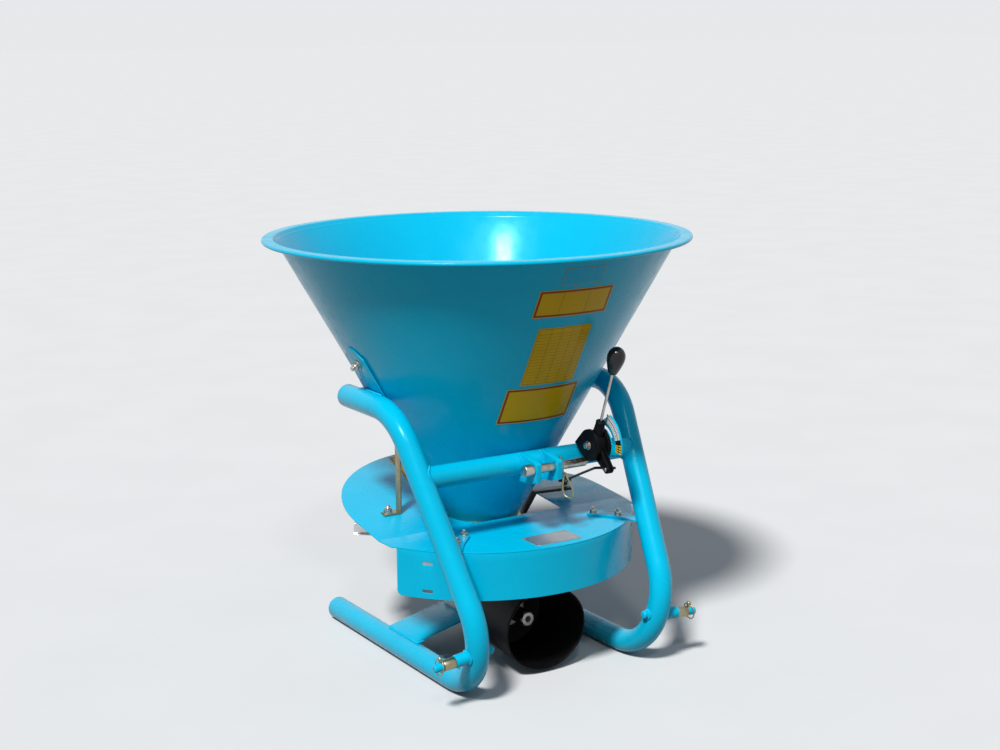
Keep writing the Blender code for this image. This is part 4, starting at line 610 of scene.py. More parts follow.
def hexagon(across, low, high, roll=0.0004):
    """A hexagonal block with chamfered corners, between two heights."""
    body = bmesh.new()
    bmesh.ops.create_cone(body, cap_ends=True, segments=6, radius1=across / 2, radius2=across / 2,
                          depth=high - low)
    bmesh.ops.translate(body, vec=(0.0, 0.0, (low + high) / 2), verts=body.verts)
    return rolled(settled(body), roll)


def joined(meshes):
    """Several meshes in one, in their own places."""
    body = bmesh.new()
    for mesh in meshes:
        body.from_mesh(mesh)
    return settled(body)


def nut_mesh(thread):
    """A washer, a hexagonal nut and a threaded end, sized from the thread, standing on Z = 0."""
    section = ((0.55, 0.0), (1.08, 0.0), (1.12, 0.08), (1.08, 0.18), (0.55, 0.18))
    washer = turned_mesh([(thread * r, thread * z) for r, z in section], 32, ring=True)
    nut = hexagon(thread * 1.92, thread * 0.19, thread * 1.05, thread * 0.07)
    ridges = []
    height = thread * 1.00
    while height < thread * 1.75:
        ridges += [(thread * 0.50, height), (thread * 0.44, height + thread * 0.055)]
        height += thread * 0.11
    end = [(0.0, thread * 0.80), (thread * 0.50, thread * 0.80)] + ridges
    end += [(thread * 0.40, height), (0.0, height)]
    return joined([washer, nut, turned_mesh(end, 24)])


def place_fasteners(name, shape, spots, coat, instead=()):
    """One piece that holds the same fastener at several places of the frame: (place matrix, size)."""
    mesh = bpy.data.meshes.new("spots")
    mesh.from_pydata([tuple(place.translation) for place, size in spots], [], [])
    mesh.attributes.new("turn", "FLOAT_VECTOR", "POINT")
    mesh.attributes.new("size", "FLOAT", "POINT")
    mesh.attributes["turn"].data.foreach_set("vector", [v for place, size in spots for v in place.to_euler()])
    mesh.attributes["size"].data.foreach_set("value", [size for place, size in spots])
    sample = show("helper", shape)
    made = grow(fasteners, mesh, Fastener=sample, Finish=coat)
    bpy.data.objects.remove(sample, do_unlink=True)
    return add(name, tidy_mesh(made, merge=0.000001), coat, "frame", instead, 30.0)


print("trees:", sorted(group.name for group in bpy.data.node_groups))

# %% [markdown]
# ## The machine's own sizes
# The same few numbers that drive the CAD model place the pieces here: where the side frames stand, how the
# legs rake and how the cone opens.

# %% Sizes and places
TUBE_RADIUS = 0.0254
BEND_RADIUS = 0.130
SPLAY = radians(6.6)
HALF_TRACK = 0.21409
ARM_HEIGHT = 0.584
ARM_END_Y = 0.090
ARM_CORNER_Y = -0.132
LEG_RAKE = radians(30.9)
SKID_END_Y = 0.301
SKID_AXIS = TUBE_RADIUS * cos(pi / 16)
CROSS_HEIGHT = 0.457
CROSS_RADIUS = 0.024
RIM_HEIGHT = 0.929
NECK_RADIUS = 0.4424
FOOT_RADIUS = 0.083
FOOT_HEIGHT = 0.289
CONE_SLOPE = (NECK_RADIUS - FOOT_RADIUS) / (RIM_HEIGHT - FOOT_HEIGHT)
CONE_ANGLE = atan(CONE_SLOPE)
GUARD_TOP = 0.306
PIN_HEIGHT = 0.117
BOSS_RADIUS = 0.0138


def leg_y(height):
    return ARM_CORNER_Y - (ARM_HEIGHT - height) * tan(LEG_RAKE)


def side_x(height):
    return HALF_TRACK + tan(SPLAY) * height


def cone_radius(height):
    return FOOT_RADIUS + CONE_SLOPE * (height - FOOT_HEIGHT)


def side_place(sign):
    """A side frame's own plane (y, distance up the plane) in the machine."""
    up = Vector((sign * sin(SPLAY), 0.0, cos(SPLAY)))
    return stand((sign * HALF_TRACK, 0.0, 0.0), Vector((0.0, 1.0, 0.0)).cross(up), (0.0, 1.0, 0.0))


def pin_place(sign):
    """+Z outboard along a lower pin, +X up the side frame."""
    outboard = Vector((sign * cos(SPLAY), 0.0, -sin(SPLAY)))
    up = Vector((sign * sin(SPLAY), 0.0, cos(SPLAY)))
    bend_y = leg_y(SKID_AXIS) + BEND_RADIUS / tan((pi / 2 - LEG_RAKE) / 2)
    back = sqrt(BEND_RADIUS ** 2 - (SKID_AXIS + BEND_RADIUS - PIN_HEIGHT) ** 2)
    return stand((sign * side_x(PIN_HEIGHT), bend_y - back, PIN_HEIGHT), outboard, up)


def wall_place(sign, along, proud):
    """On the cone's side wall: +Z out of the wall, +Y up the wall."""
    outward = Vector((sign * cos(CONE_ANGLE), 0.0, -sin(CONE_ANGLE)))
    up = Vector((sign * sin(CONE_ANGLE), 0.0, cos(CONE_ANGLE)))
    return stand(Vector((sign * FOOT_RADIUS, 0.0, FOOT_HEIGHT)) + up * along + outward * proud, outward,
                 up.cross(outward))


print("track", round(2 * HALF_TRACK, 4), "cone angle", round(degrees(CONE_ANGLE), 1))

# %% [markdown]
# ## Hopper
# The hopper is spun from sheet: a straight cone whose lip turns out flat and ends in a rolled bead, which
# keeps the thin edge stiff. A turned profile makes it exactly, with the wall's real thickness, so the inside
# shows as well. A seam runs down the back, where the sheet was welded into a cone.

# %% Turn the hopper
# Its profile is the wall's outer face, the rolled bead, the lip and the inner face, as (radius, height).
wall = 0.0025 / cos(CONE_ANGLE)
lip = RIM_HEIGHT - 0.0020
profile = [(FOOT_RADIUS - wall, FOOT_HEIGHT), (FOOT_RADIUS, FOOT_HEIGHT)]
profile += [(cone_radius(z), z) for z in (0.35, 0.45, 0.55, 0.65, 0.75, 0.85, 0.905, 0.9155)]
profile += arc((cone_radius(0.9155) + 0.0085, 0.9140), 0.0082, 152, 92, 6)
profile += arc((0.4655, 0.9240), 0.0043, 222, 450, 16)
profile += [(0.4600, lip + 0.0012), (0.4500, lip + 0.0017)]
profile += arc((0.4478, 0.9230), 0.0058, 84, 150, 6)
profile += [(cone_radius(z) - wall, z) for z in (0.905, 0.85, 0.75, 0.65, 0.55, 0.45, 0.35)]
hopper = add("hopper_cone", turned_mesh(profile, 192, ring=True), enamel, "frame", "hopper", 50)
seam_line = [Vector((0.012, cone_radius(z) + 0.0002, z)) for z in (FOOT_HEIGHT + 0.006, 0.905)]
add("hopper_seam", grow(weld_bead, line_mesh(seam_line), Pitch=0.0017, Drop=0.0019, Finish=enamel), enamel)
print("hopper faces:", len(hopper.data.polygons))

# %% [markdown]
# ## Side frames and cross tube
# Each side is one tube, bent twice on the same former: arm, leg and skid. The bent-tube tree rounds the
# corners of a three-legged line and sweeps the tube along it. The ends are closed with welded plugs.

# %% Bend the tubes
rise = 1.0 / cos(SPLAY)
side_line = [(ARM_END_Y, ARM_HEIGHT * rise), (ARM_CORNER_Y, ARM_HEIGHT * rise),
             (leg_y(SKID_AXIS), SKID_AXIS * rise), (SKID_END_Y, SKID_AXIS * rise)]
for side, sign in (("left", -1), ("right", 1)):
    tube = grow(bent_tube, line_mesh(placed(side_place(sign), side_line)), Finish=enamel)
    add("side_frame_" + side, rolled(tidy_mesh(tube), 0.0022, 3, 60), enamel, "frame", "side_tube_" + side)


def leg_point(sign, height):
    return Vector((sign * side_x(height), leg_y(height), height))


def reach_bar(start, heading, bar_point, bar_axis):
    """How far along a heading a point first meets a round frame tube."""
    across = start - bar_point
    a = heading - bar_axis * heading.dot(bar_axis)
    b = across - bar_axis * across.dot(bar_axis)
    aa, ab, bb = a.dot(a), a.dot(b), b.dot(b) - TUBE_RADIUS ** 2
    return (-ab - sqrt(ab * ab - aa * bb)) / aa


def saddle_line(sign):
    """The line where the cross tube meets the side of a leg."""
    outward = Vector((sign, 0.0, 0.0))
    low = leg_point(sign, 0.2)
    leg_axis = (leg_point(sign, 0.55) - low).normalized()
    rim = placed(stand(cross_middle, outward, (0, 0, 1)), arc((0, 0), CROSS_RADIUS, 0, 360, 48))
    return [spot + outward * reach_bar(spot, outward, low, leg_axis) for spot in rim]


cross_middle = Vector((0.0, leg_y(CROSS_HEIGHT), CROSS_HEIGHT))
weld_lines = [saddle_line(-1), saddle_line(1)]
half = side_x(CROSS_HEIGHT)
inner = CROSS_RADIUS - 0.003
cross_tube = turned_mesh([(inner, half), (CROSS_RADIUS, half), (CROSS_RADIUS, -half), (inner, -half)], 48,
                         stand(cross_middle, (1, 0, 0), (0, 0, 1)), ring=True)
add("cross_bar", cross_tube, enamel, "frame", "cross_tube")
print("saddle from", [round(v, 3) for v in weld_lines[1][0]])

# %% [markdown]
# ## Sheet pieces of the guard
# The front plate is cut from flat sheet and its two lobes are folded up behind a straight line. The skirt is
# a strip bent round the plate's edge, with rounded lower corners and two slots at each side.

# %% Cut and fold the guard plate
GUARD_RADIUS = 0.342
SHEET = 0.003
SHEET_ROLL = 0.0007
SKIRT_CORNER = 28.0
FOLD_Y = -0.100
LEFT_SLOPE = 0.165
RIGHT_SLOPE = 0.095
LOBE_INNER = 0.122
LOBE_OUTER = 0.312


def lobe_rise(x, y):
    return max(0.0, (y - FOLD_Y) * (LEFT_SLOPE if x < 0 else RIGHT_SLOPE))


def slice_mesh(mesh, cuts, normal):
    """Cut a mesh with parallel planes, so that it can bend."""
    body = bmesh.new()
    body.from_mesh(mesh)
    for cut in cuts:
        parts = list(body.verts) + list(body.edges) + list(body.faces)
        spot = Vector(normal) * cut
        bmesh.ops.bisect_plane(body, geom=parts, plane_co=spot, plane_no=normal, dist=0.0000001)
    return settled(body, mesh)


corner_x = GUARD_RADIUS * cos(radians(SKIRT_CORNER))
corner_y = -GUARD_RADIUS * sin(radians(SKIRT_CORNER))
outline = arc((0, 0), GUARD_RADIUS, 180 + SKIRT_CORNER, 360 - SKIRT_CORNER, 96)
outline += [(corner_x + 0.012, corner_y + 0.010), (0.324, FOLD_Y)]
right = smooth_path([(0.324, FOLD_Y), (0.322, 0.044), (0.294, 0.098), (0.239, 0.150)], 2)
outline += right[1:] + [(0.155, 0.150), (0.155, FOLD_Y)]
inner_end, outer_end = (degrees(acos(-0.030 / radius)) for radius in (LOBE_INNER, LOBE_OUTER))
outline += arc((0, 0), LOBE_INNER, 180 + degrees(asin(-FOLD_Y / LOBE_INNER)), inner_end, 40)
outline += arc((0, 0), LOBE_OUTER, outer_end, 183, 48)
outline += [(-LOBE_OUTER, FOLD_Y), (-corner_x - 0.008, corner_y + 0.006)]
guard = outline_mesh([outline], SHEET, SHEET_ROLL)
guard = slice_mesh(guard, [FOLD_Y + step * 0.002 for step in range(-2, 3)], (0.0, 1.0, 0.0))
for vert in guard.vertices:
    depth = vert.co.y - FOLD_Y
    soft = max(0.0, min(1.0, (depth + 0.004) / 0.008))
    vert.co.z += GUARD_TOP - SHEET / 2 + lobe_rise(vert.co.x, vert.co.y) * soft
add("guard_top", tidy_mesh(guard), enamel, "frame", "guard_plate", 60)

# %% Bend the skirt
SKIRT_TOP = GUARD_TOP - 0.0033
SKIRT_BOTTOM = 0.201
SKIRT_ROUND = 0.012


def slot_outline(middle, height, length, tall):
    half = length / 2 - tall / 2
    return (arc((middle + half, height), tall / 2, -90, 90, 6)
            + arc((middle - half, height), tall / 2, 90, 270, 6))


run = GUARD_RADIUS * radians(180 - 2 * SKIRT_CORNER)
low_corners = (SKIRT_ROUND, SKIRT_BOTTOM + SKIRT_ROUND), (run - SKIRT_ROUND, SKIRT_BOTTOM + SKIRT_ROUND)
strip = [(0.0, SKIRT_TOP), *arc(low_corners[0], SKIRT_ROUND, 180, 270, 8),
         *arc(low_corners[1], SKIRT_ROUND, 270, 360, 8), (run, SKIRT_TOP)]
slots = [slot_outline(GUARD_RADIUS * radians(angle - SKIRT_CORNER), z, 0.024, 0.007)
         for angle in (40.0, 140.0) for z in (0.277, 0.217)]
skirt = outline_mesh([strip, *slots], SHEET, SHEET_ROLL)
skirt = slice_mesh(skirt, [run * i / 90 for i in range(1, 90)], (1.0, 0.0, 0.0))
for vert in skirt.vertices:
    turn = radians(180 + SKIRT_CORNER) + vert.co.x / GUARD_RADIUS
    radius = GUARD_RADIUS - SHEET / 2 - vert.co.z
    vert.co = (radius * cos(turn), radius * sin(turn), vert.co.y)
add("guard_skirt_strip", tidy_mesh(skirt), enamel, "frame", "guard_skirt", 50)

# %% Brackets, carriers and sheet parts with rolled edges
for node in ("hopper_gusset_left", "hopper_gusset_right", "guard_tab_left", "guard_tab_right",
             "gearbox_carrier_left", "gearbox_carrier_right", "sector_plate"):
    softened(node, enamel, 0.0007)
softened("top_link_bracket", enamel, 0.0012, 3)
strap = softened("lobe_strap", yellow_zinc, 0.0007)
strap.data.transform(Matrix.Translation((0.0, 0.010, 0.0)) @ Matrix.Diagonal((1.0, 1.25, 1.0, 1.0))
                     @ Matrix.Translation((0.0, -0.010, 0.0)))
softened("outlet_floor", yellow_zinc, 0.0004)
softened("shutter_plate", black_steel, 0.0005)
softened("gearbox_housing", casting, 0.0025, 3)
softened("gearbox_cover", casting, 0.0020, 3)

# %% [markdown]
# ## Weld beads
# The cross tube is welded into the legs, the pin bosses onto the bends and the carriers, tabs and lugs onto
# their tubes. A bead is a row of overlapping drops. Under the enamel it is the same blue, and it is what
# tells a welded frame from a moulded one.

# %% Lay the welds
WELD_LIFT = 0.0006    # how far a bead's line lies off the steel
for sign in (-1, 1):
    place = pin_place(sign)
    weld_lines.append([place @ Vector((x, y, TUBE_RADIUS * cos(y / TUBE_RADIUS) + WELD_LIFT))
                       for x, y in arc((0, 0), BOSS_RADIUS, 0, 360, 40)])
    weld_lines.append(placed(place, arc((0, 0), 0.0092, 0, 360, 24), -TUBE_RADIUS + WELD_LIFT))
    skid_x = sign * (side_x(SKID_AXIS) - 0.004)
    for y in (-0.0805, 0.0455):
        weld_lines.append([Vector((skid_x - sign * 0.016, y, 0.0530)), Vector((skid_x, y, 0.0510))])
    weld_lines.append([Vector((skid_x + sign * 0.0015, y, 0.0515)) for y in (-0.078, 0.043)])
    for rise, inward in ((0.62, 0.80), (0.86, 0.56)):
        arm_top = ARM_HEIGHT + TUBE_RADIUS * rise
        inner = side_x(arm_top) - TUBE_RADIUS * inward
        weld_lines.append([Vector((sign * inner, y, arm_top)) for y in (-0.044, 0.044)])
lug_arc = arc((0, 0), CROSS_RADIUS + WELD_LIFT, 112, 292, 30)
for x in (-0.0325, -0.0205, 0.0205, 0.0325):
    place = stand((x, cross_middle.y, cross_middle.z), (1, 0, 0), (0, 1, 0))
    weld_lines.append(placed(place, lug_arc))
beads = joined([grow(weld_bead, line_mesh(line), Finish=enamel) for line in weld_lines])
welds = add("weld_beads", beads, enamel, sharp=180)
print("weld faces:", len(welds.data.polygons))

# %% [markdown]
# ## Lower hitch pins
# A boss is welded to each bend, with a turned pin, a loose zinc sleeve and a linch pin. The pins are turned
# pieces again, now with chamfers and a rounded end. The ring that locks the linch pin is a thin wire loop
# that swings about its head.

# %% Turn the pins and bend the rings
def ring_profile(inner, outer, low, high, cut, rise):
    """A ring's section, with its outer corners cut off."""
    return [(inner, low), (outer - cut, low), (outer, low + rise), (outer, high - rise), (outer - cut, high),
            (inner, high)]


RING_RADIUS = 0.0178
LINCH_AT = 0.086

for side, sign in (("left", -1), ("right", 1)):
    place = pin_place(sign)
    base = TUBE_RADIUS * 0.80
    boss_end = TUBE_RADIUS + 0.0278
    profile = [(0.0, 0.1035)] + arc((0.0055, 0.1000), 0.0035, 90, 0, 5)
    profile += [(0.0090, boss_end + 0.0002), (0.0126, boss_end), (BOSS_RADIUS, boss_end - 0.0014),
                (BOSS_RADIUS, base), (0.0090, base - 0.002), (0.0090, -0.0340)]
    profile += arc((0.0040, -0.0330), 0.0050, 0, -90, 6) + [(0.0, -0.0380)]
    add("hitch_stub_" + side, turned_mesh(profile, 40, place), enamel, "frame", "lower_pin_" + side)
    sleeve = ring_profile(0.0096, 0.0118, boss_end + 0.0004, boss_end + 0.0283, 0.0006, 0.0008)
    add("roll_sleeve_" + side, turned_mesh(sleeve, 40, place, ring=True), yellow_zinc, "sleeve_" + side,
        "lower_sleeve_" + side, slot="bright_zinc")
    through = place @ Matrix.Translation((0.0, 0.0, LINCH_AT)) @ Matrix.Rotation(pi / 2, 4, "Y")
    linch = [(0.0, 0.0228)] + arc((0.0, RING_RADIUS), 0.0050, 84, -42, 9)
    linch += mm(3.4, 12.6, 3, 11, 3, -11.8, 1.8, -14.5, 0, -14.5)
    add("linch_" + side, turned_mesh(linch, 24, through), yellow_zinc, "frame", "linch_pin_" + side)
    ring_place = (place @ Matrix.Translation((RING_RADIUS, 0.0, LINCH_AT))
                  @ Matrix.Rotation(radians(12), 4, "Y"))
    ring = wire_mesh(placed(ring_place, arc((-RING_RADIUS, 0), RING_RADIUS, 13, 347, 56)), 0.0013, 10)
    add("lock_ring_" + side, ring, yellow_zinc, "ring_" + side, "linch_ring_" + side)

# %% [markdown]
# ## Top-link pin and its clip
# The pin crosses both lugs and runs on to the right, where the lever stands. The clip is a bent spring wire:
# one straight leg goes through the pin, and the wire turns back in a long drop-shaped loop beside it.

# %% Turn the pin and bend the clip
PIN_Y = -0.27101
PIN_Z = 0.4575
CLIP_LEAN = radians(14.4)

pin_place_top = stand((0.0, PIN_Y, PIN_Z), (1, 0, 0), (0, 0, 1))
pin_profile = mm(0, 102, 7.2, 102, 9.5, 99, 9.5, -33, 11.8, -33.2, 12.5, -34, 12.5, -53, 11.5, -54.6,
                 0, -54.8)
add("top_pin", turned_mesh(pin_profile, 40, pin_place_top), bright_zinc, "hitch_pin", "top_link_pin")

clip_up = Vector((0.0, sin(CLIP_LEAN), cos(CLIP_LEAN)))
clip_place = stand((0.0413, PIN_Y, PIN_Z), Vector((cos(0.5), sin(0.5), 0.0)), clip_up * -1)
clip_points = mm(-19, 0, 17, 0, 30, 3.5, 44, 8.5, 56, 11, 66.5, 8.5, 71.8, -1, 71.8, -5, 66.5, -12.5, 56, -14,
                 44, -11.5, 30, -7, 19, -4.2, 16, -4)
clip_line = placed(clip_place, smooth_path(clip_points, 2))
add("hitch_clip_wire", wire_mesh(clip_line, 0.0021), yellow_zinc, "clip", "hitch_clip")
print("clip points:", len(clip_line))

# %% [markdown]
# ## Control lever
# A friction stack of moulded black discs holds the lever: a drop-shaped front disc, the hub that carries the
# rod and the arm, and a round rear disc against the sector. The knob is glossy and pear-shaped.

# %% Discs, hub, rod and knob
PIVOT = Vector((0.0, -0.28001, 0.494))
LEVER_LEAN = radians(20.5)
ARM_LENGTH = 0.066
HUB_MIDDLE = 0.1214


def lever_place(x):
    """On the lever's axis: own X to the rear, own Y up, own Z to the right."""
    return stand((x, PIVOT.y, PIVOT.z), (1, 0, 0), (0, 1, 0))


point_half = degrees(acos(0.0345 / 0.0525))
drop = arc((0, 0), 0.0345, -3 + point_half, 357 - point_half, 64)
tip = (0.0525 * cos(radians(-3)), 0.0525 * sin(radians(-3)))
hole = arc((0, 0), 0.0056, 0, 345, 23)
front = outline_mesh([drop + [tip], hole], 0.0085, 0.0012)
front.transform(lever_place(0.103 + 0.00425))
add("lever_disc_front", front, black_plastic, "frame", "lever_clamp_front", 50)
rear_profile = ring_profile(0.0056, 0.0360, 0.0, 0.0070, 0.0008, 0.0008)
add("lever_disc_rear", turned_mesh(rear_profile, 72, lever_place(0.1313), ring=True), black_plastic, "frame",
    "lever_clamp_rear")
lean_axis = Vector((0.0, -sin(LEVER_LEAN), cos(LEVER_LEAN)))
lever_axis = stand((HUB_MIDDLE, PIVOT.y, PIVOT.z), lean_axis, (1, 0, 0))
hub_disc = turned_mesh(ring_profile(0.0058, 0.0270, 0.1119, 0.1309, 0.0008, 0.0008), 64, lever_place(0.0),
                       ring=True)
boss = turned_mesh(mm(0, 20, 13.5, 20, 11.8, 34, 9.8, 54, 10.6, 54.8, 10.6, 57.2, 9.8, 58, 4.8, 58, 4.4, 56,
                      0, 56), 40, lever_axis)
arm_outline = arc((0.0, 0.0), 0.0215, 52, 308, 28) + arc((ARM_LENGTH, 0.0), 0.0095, -78, 78, 16)
down_arm = lever_place(HUB_MIDDLE) @ Matrix.Rotation(radians(-138), 4, "Z")
arm_plate = outline_mesh([arm_outline, arc((ARM_LENGTH, 0.0), 0.0034, 0, 345, 23)], 0.0070, 0.0010)
slot_hole = arc((ARM_LENGTH, 0.0), 0.0060, -90, 90, 12) + arc((0.030, 0.0), 0.0085, 90, 270, 12)
arm_rim = outline_mesh([arm_outline, slot_hole], 0.0145, 0.0008)
arm_pin = turned_mesh(ring_profile(0.0, 0.0046, -0.0105, 0.0105, 0.0006, 0.0007), 24,
                      Matrix.Translation((ARM_LENGTH, 0.0, 0.0)))
for mesh in (arm_plate, arm_rim, arm_pin):
    mesh.transform(down_arm)
add("lever_hub_body", joined([hub_disc, boss, arm_plate, arm_rim]), black_plastic, "lever", "lever_hub", 40)
add("lever_arm_pin", arm_pin, bright_zinc, "lever")
rod = turned_mesh(mm(0, 185.5, 3, 185.5, 3, 36.6, 0, 36.6), 24, lever_axis)
add("lever_rod_bar", rod, bright_zinc, "lever", "lever_rod")
knob_profile = mm(0, 238, 4.5, 237.6, 8.8, 236, 13, 232.8, 16.6, 227.8, 18.8, 222, 19.5, 216, 19.2, 210,
                  18, 203.5, 16.1, 196, 13.8, 188.8, 11.6, 182.4, 10, 178.2, 9, 176.6, 6, 176.4, 3.4, 177,
                  3.4, 186.2, 0, 186.2)
add("knob", turned_mesh(knob_profile, 64, lever_axis), gloss_black, "lever", "lever_knob", 60)

# %% The pivot bolt
shank = turned_mesh(mm(0, 156, 5, 156, 5, 102.7, 9.5, 102.7, 9.8, 102.1, 9.5, 101.2, 5, 101.2, 0, 101.2), 32)
bolt = joined([shank, hexagon(0.0150, 0.0944, 0.1010, 0.0006), hexagon(0.0150, 0.1429, 0.1509, 0.0006)])
bolt.transform(stand(PIVOT, (1, 0, 0), (0, 0, 1)))
add("pivot_bolt", bolt, bright_zinc, "frame", "lever_pivot_bolt", 30)

# %% [markdown]
# ## Link
# The link is a thin dark rod from the lever's arm to the bolt on the shutter's arm. Its far end is bent into
# a wide eye round that bolt.

# %% Bend the link
SHUTTER_REST = radians(-8.1)
SHUTTER_REACH = 0.212
LINK_WIRE = 0.0029
far = Vector((cos(SHUTTER_REST) * SHUTTER_REACH, sin(SHUTTER_REST) * SHUTTER_REACH, 0.346))
arm_turn = radians(48)
eye_y = PIVOT.y - sin(arm_turn) * ARM_LENGTH
eye_z = PIVOT.z - cos(arm_turn) * ARM_LENGTH
start = Vector((0.1139, eye_y, eye_z))
corner = Vector((0.1389, eye_y, eye_z))
knee = corner + Vector((0.004, 0.082, -0.018))
heading = (far - knee).normalized()
ring_radius = 0.004 + 0.0056 + 0.003    # the bolt, the room round it and the wire
side_way = heading.cross(Vector((0.0, 0.0, 1.0))).normalized()
tail = far - heading * (ring_radius + 0.0008)
link_points = [start, start.lerp(corner, 0.6), corner, corner.lerp(knee, 0.08), knee.lerp(corner, 0.06),
               knee.lerp(tail, 0.03), tail - heading * 0.010]
link_path = smooth_path(link_points, 2)
link_path += [far + heading * x + side_way * y for x, y in arc((0, 0), ring_radius, 172, -160, 42)]
add("link_wire", wire_mesh(link_path, LINK_WIRE, 14), black_steel, "link", "link_rod", 60)

# %% [markdown]
# ## Fasteners
# One nut with its washer and threaded end is modelled once and stands wherever the machine is bolted, at its
# own size and turn.

# %% Stand the nuts
nut = nut_mesh(0.0065)
tab_top = GUARD_TOP + 0.0043    # a tab, or the strap's foot, lies on the guard
guard_spots = [Matrix.Translation((x, y, tab_top)) for x, y in
               ((-0.148, -0.180), (-0.190, -0.222), (0.181, -0.186), (0.218, -0.228))]
strap_height = tab_top + lobe_rise(-0.231, 0.010)
strap_spot = (Matrix.Translation((-0.231, 0.010, strap_height))
              @ Matrix.Rotation(atan(LEFT_SLOPE), 4, "X"))
spots = [(place, 1.2) for place in guard_spots] + [(strap_spot, 1.5)]
spots += [(wall_place(sign, 0.43703, 0.0032), 1.6) for sign in (-1, 1)]
spots += [(Matrix.Translation((sign * 0.0654, -0.0175, 0.0955)), 1.2) for sign in (-1, 1)]
cover_spots = [stand((x, 0.0584, z), (0, 1, 0), (1, 0, 0)) for x in (-0.042, 0.042) for z in (0.054, 0.142)]
place_fasteners("nuts", nut, spots, bright_zinc,
                ["guard_bolt_left", "guard_bolt_right", "strap_bolt", "gusset_bolt_left", "gusset_bolt_right",
                 "carrier_bolt_left", "carrier_bolt_right"])
cap_screw = turned_mesh(mm(0, 0, 5, 0, 5.2, 0.4, 5.2, 4.2, 4.6, 4.8, 2.8, 4.8, 2.6, 2, 0, 2), 24)
place_fasteners("cover_screws", cap_screw, [(place, 1.0) for place in cover_spots], black_steel)

# %% The shutter's link bolt
bolt_spot = Matrix.Translation((far.x, far.y, 0.3313))
shank = turned_mesh(mm(0, 28.7, 3.2, 28.7, 4, 27.7, 4, -6.5, 0, -6.5), 24)
bolt_mesh = joined([shank, hexagon(0.0130, 0.0002, 0.0030), hexagon(0.0130, -0.0095, -0.0065),
                    hexagon(0.0140, 0.0246, 0.0286, 0.0005)])
bolt_mesh.transform(bolt_spot)
coil = [(0.0060 * cos(t / 2.6), 0.0060 * sin(t / 2.6), 0.0042 + 0.000145 * t) for t in range(58)]
spring = wire_mesh(coil, 0.0008, 8)
spring.transform(bolt_spot)
add("link_spring", spring, black_steel, "shutter")
add("shutter_link_bolt", bolt_mesh, yellow_zinc, "shutter", "link_bolt", 30)

# %% [markdown]
# ## Drive and throwing disc
# A black plastic shield stands round the splined input stub. Above the gearbox turns a dished stainless disc
# with four channel vanes, most of it hidden by the guard.

# %% The shield, the stub and the disc
front_axis = stand((0.0, 0.0, 0.100), (0, -1, 0), (0, 0, 1))
shield = mm(36.3, 115.3, 36.3, 118.3, 77.5, 118.3, 80.6, 120, 81.2, 122.5, 88, 265, 88.5, 270.6, 89.6, 272,
            91.2, 272, 92, 270.8, 91.8, 265, 84, 120.5, 83.2, 116.8, 80, 115.3)
cover = turned_mesh(shield, 96, front_axis, ring=True)
for vert in cover.vertices:
    vert.co.x *= 1.0 + 0.09 * max(0.0, (-vert.co.y - 0.1210) / 0.151)
add("drive_shield", cover, black_plastic, "frame", "pto_shield", 50)
softened("input_shaft", steel, flatten=False)
bore = turned_mesh(mm(0, 198.4, 2.8, 198.4, 3.6, 199, 6.8, 199, 7.2, 198.6, 7.2, 198, 0, 198), 28, front_axis)
add("stub_centre", bore, black_steel, "input", slot="steel")
disc_profile = mm(12.8, 228, 60, 228, 66, 228.3, 191, 235.3, 192, 236, 192, 237, 191, 237.7, 66, 230.9,
                  60, 230.5, 12.8, 230.5)
add("spinner", turned_mesh(disc_profile, 128, ring=True), stainless, "disc", "throwing_disc", 25)
add("disc_hex_nut", hexagon(0.0420, 0.2308, 0.2448, 0.0012), bright_zinc, "disc", "disc_nut", 30)
for k in range(1, 5):
    softened("vane_%d" % k, stainless, 0.0005)
softened("agitator", steel, flatten=False)

# %% [markdown]
# ## Plate and panels
# The bare aluminium plate is riveted to the guard. The panels on the cone are thin film: they follow the wall
# exactly, so they are cut as patches of the same cone. They carry only borders and ruled lines.

# %% The riveted plate
def plate_corners(inset):
    """The plate's four corners, some way inside it, anticlockwise from the right rear one."""
    across, along = (half - inset for half in PLATE_HALF)
    return [Vector((PLATE_MIDDLE[0] + sx * across, PLATE_MIDDLE[1] + sy * along, 0.0))
            for sx, sy in ((1, 1), (-1, 1), (-1, -1), (1, -1))]


plate_outline = []
for turn, corner in enumerate(plate_corners(0.004)):
    plate_outline += arc(corner, 0.004, 90 * turn, 90 * turn + 90, 6)
plate_mesh = outline_mesh([plate_outline], 0.001, 0.0002)
plate_mesh.transform(Matrix.Translation((0.0, 0.0, GUARD_TOP + 0.0008)))
add("bare_plate", plate_mesh, plate_metal, "frame", "blank_plate")
rivet = turned_mesh(mm(0, 1.3, 1, 1.2, 1.9, 0.7, 2.2, 0, 0, 0), 20)
rivet_height = Vector((0.0, 0.0, GUARD_TOP + 0.0013))
rivet_spots = [(Matrix.Translation(corner + rivet_height), 1.0) for corner in plate_corners(0.0055)]
place_fasteners("plate_rivets", rivet, rivet_spots, bright_zinc)


# %% Panels on the cone
def film(name, width, height, recipe):
    """A thin printed film. Its UV map runs from 0 to 1 across it and up it."""
    made, spot = start_finish(name, Specular_IOR_Level=0.18, Specular_Tint=rgb(1.0, 0.80, 0.35),
                              Coat_Weight=0.02, Coat_Roughness=0.08)
    u, v, w = spot.node("ShaderNodeTexCoord", out=2).split()
    across = u * width
    up = v * height
    edge = across.maths("MINIMUM", width - across).maths("MINIMUM", up.maths("MINIMUM", height - up))
    colour = recipe(spot, across, up, edge)
    return wire(made, Base_Color=colour, Roughness=spot.noise(60.0, 4.0).ease(0.3, 0.7, 0.24, 0.36),
                bump=(spot.noise(260.0), 0.05, 0.0006))


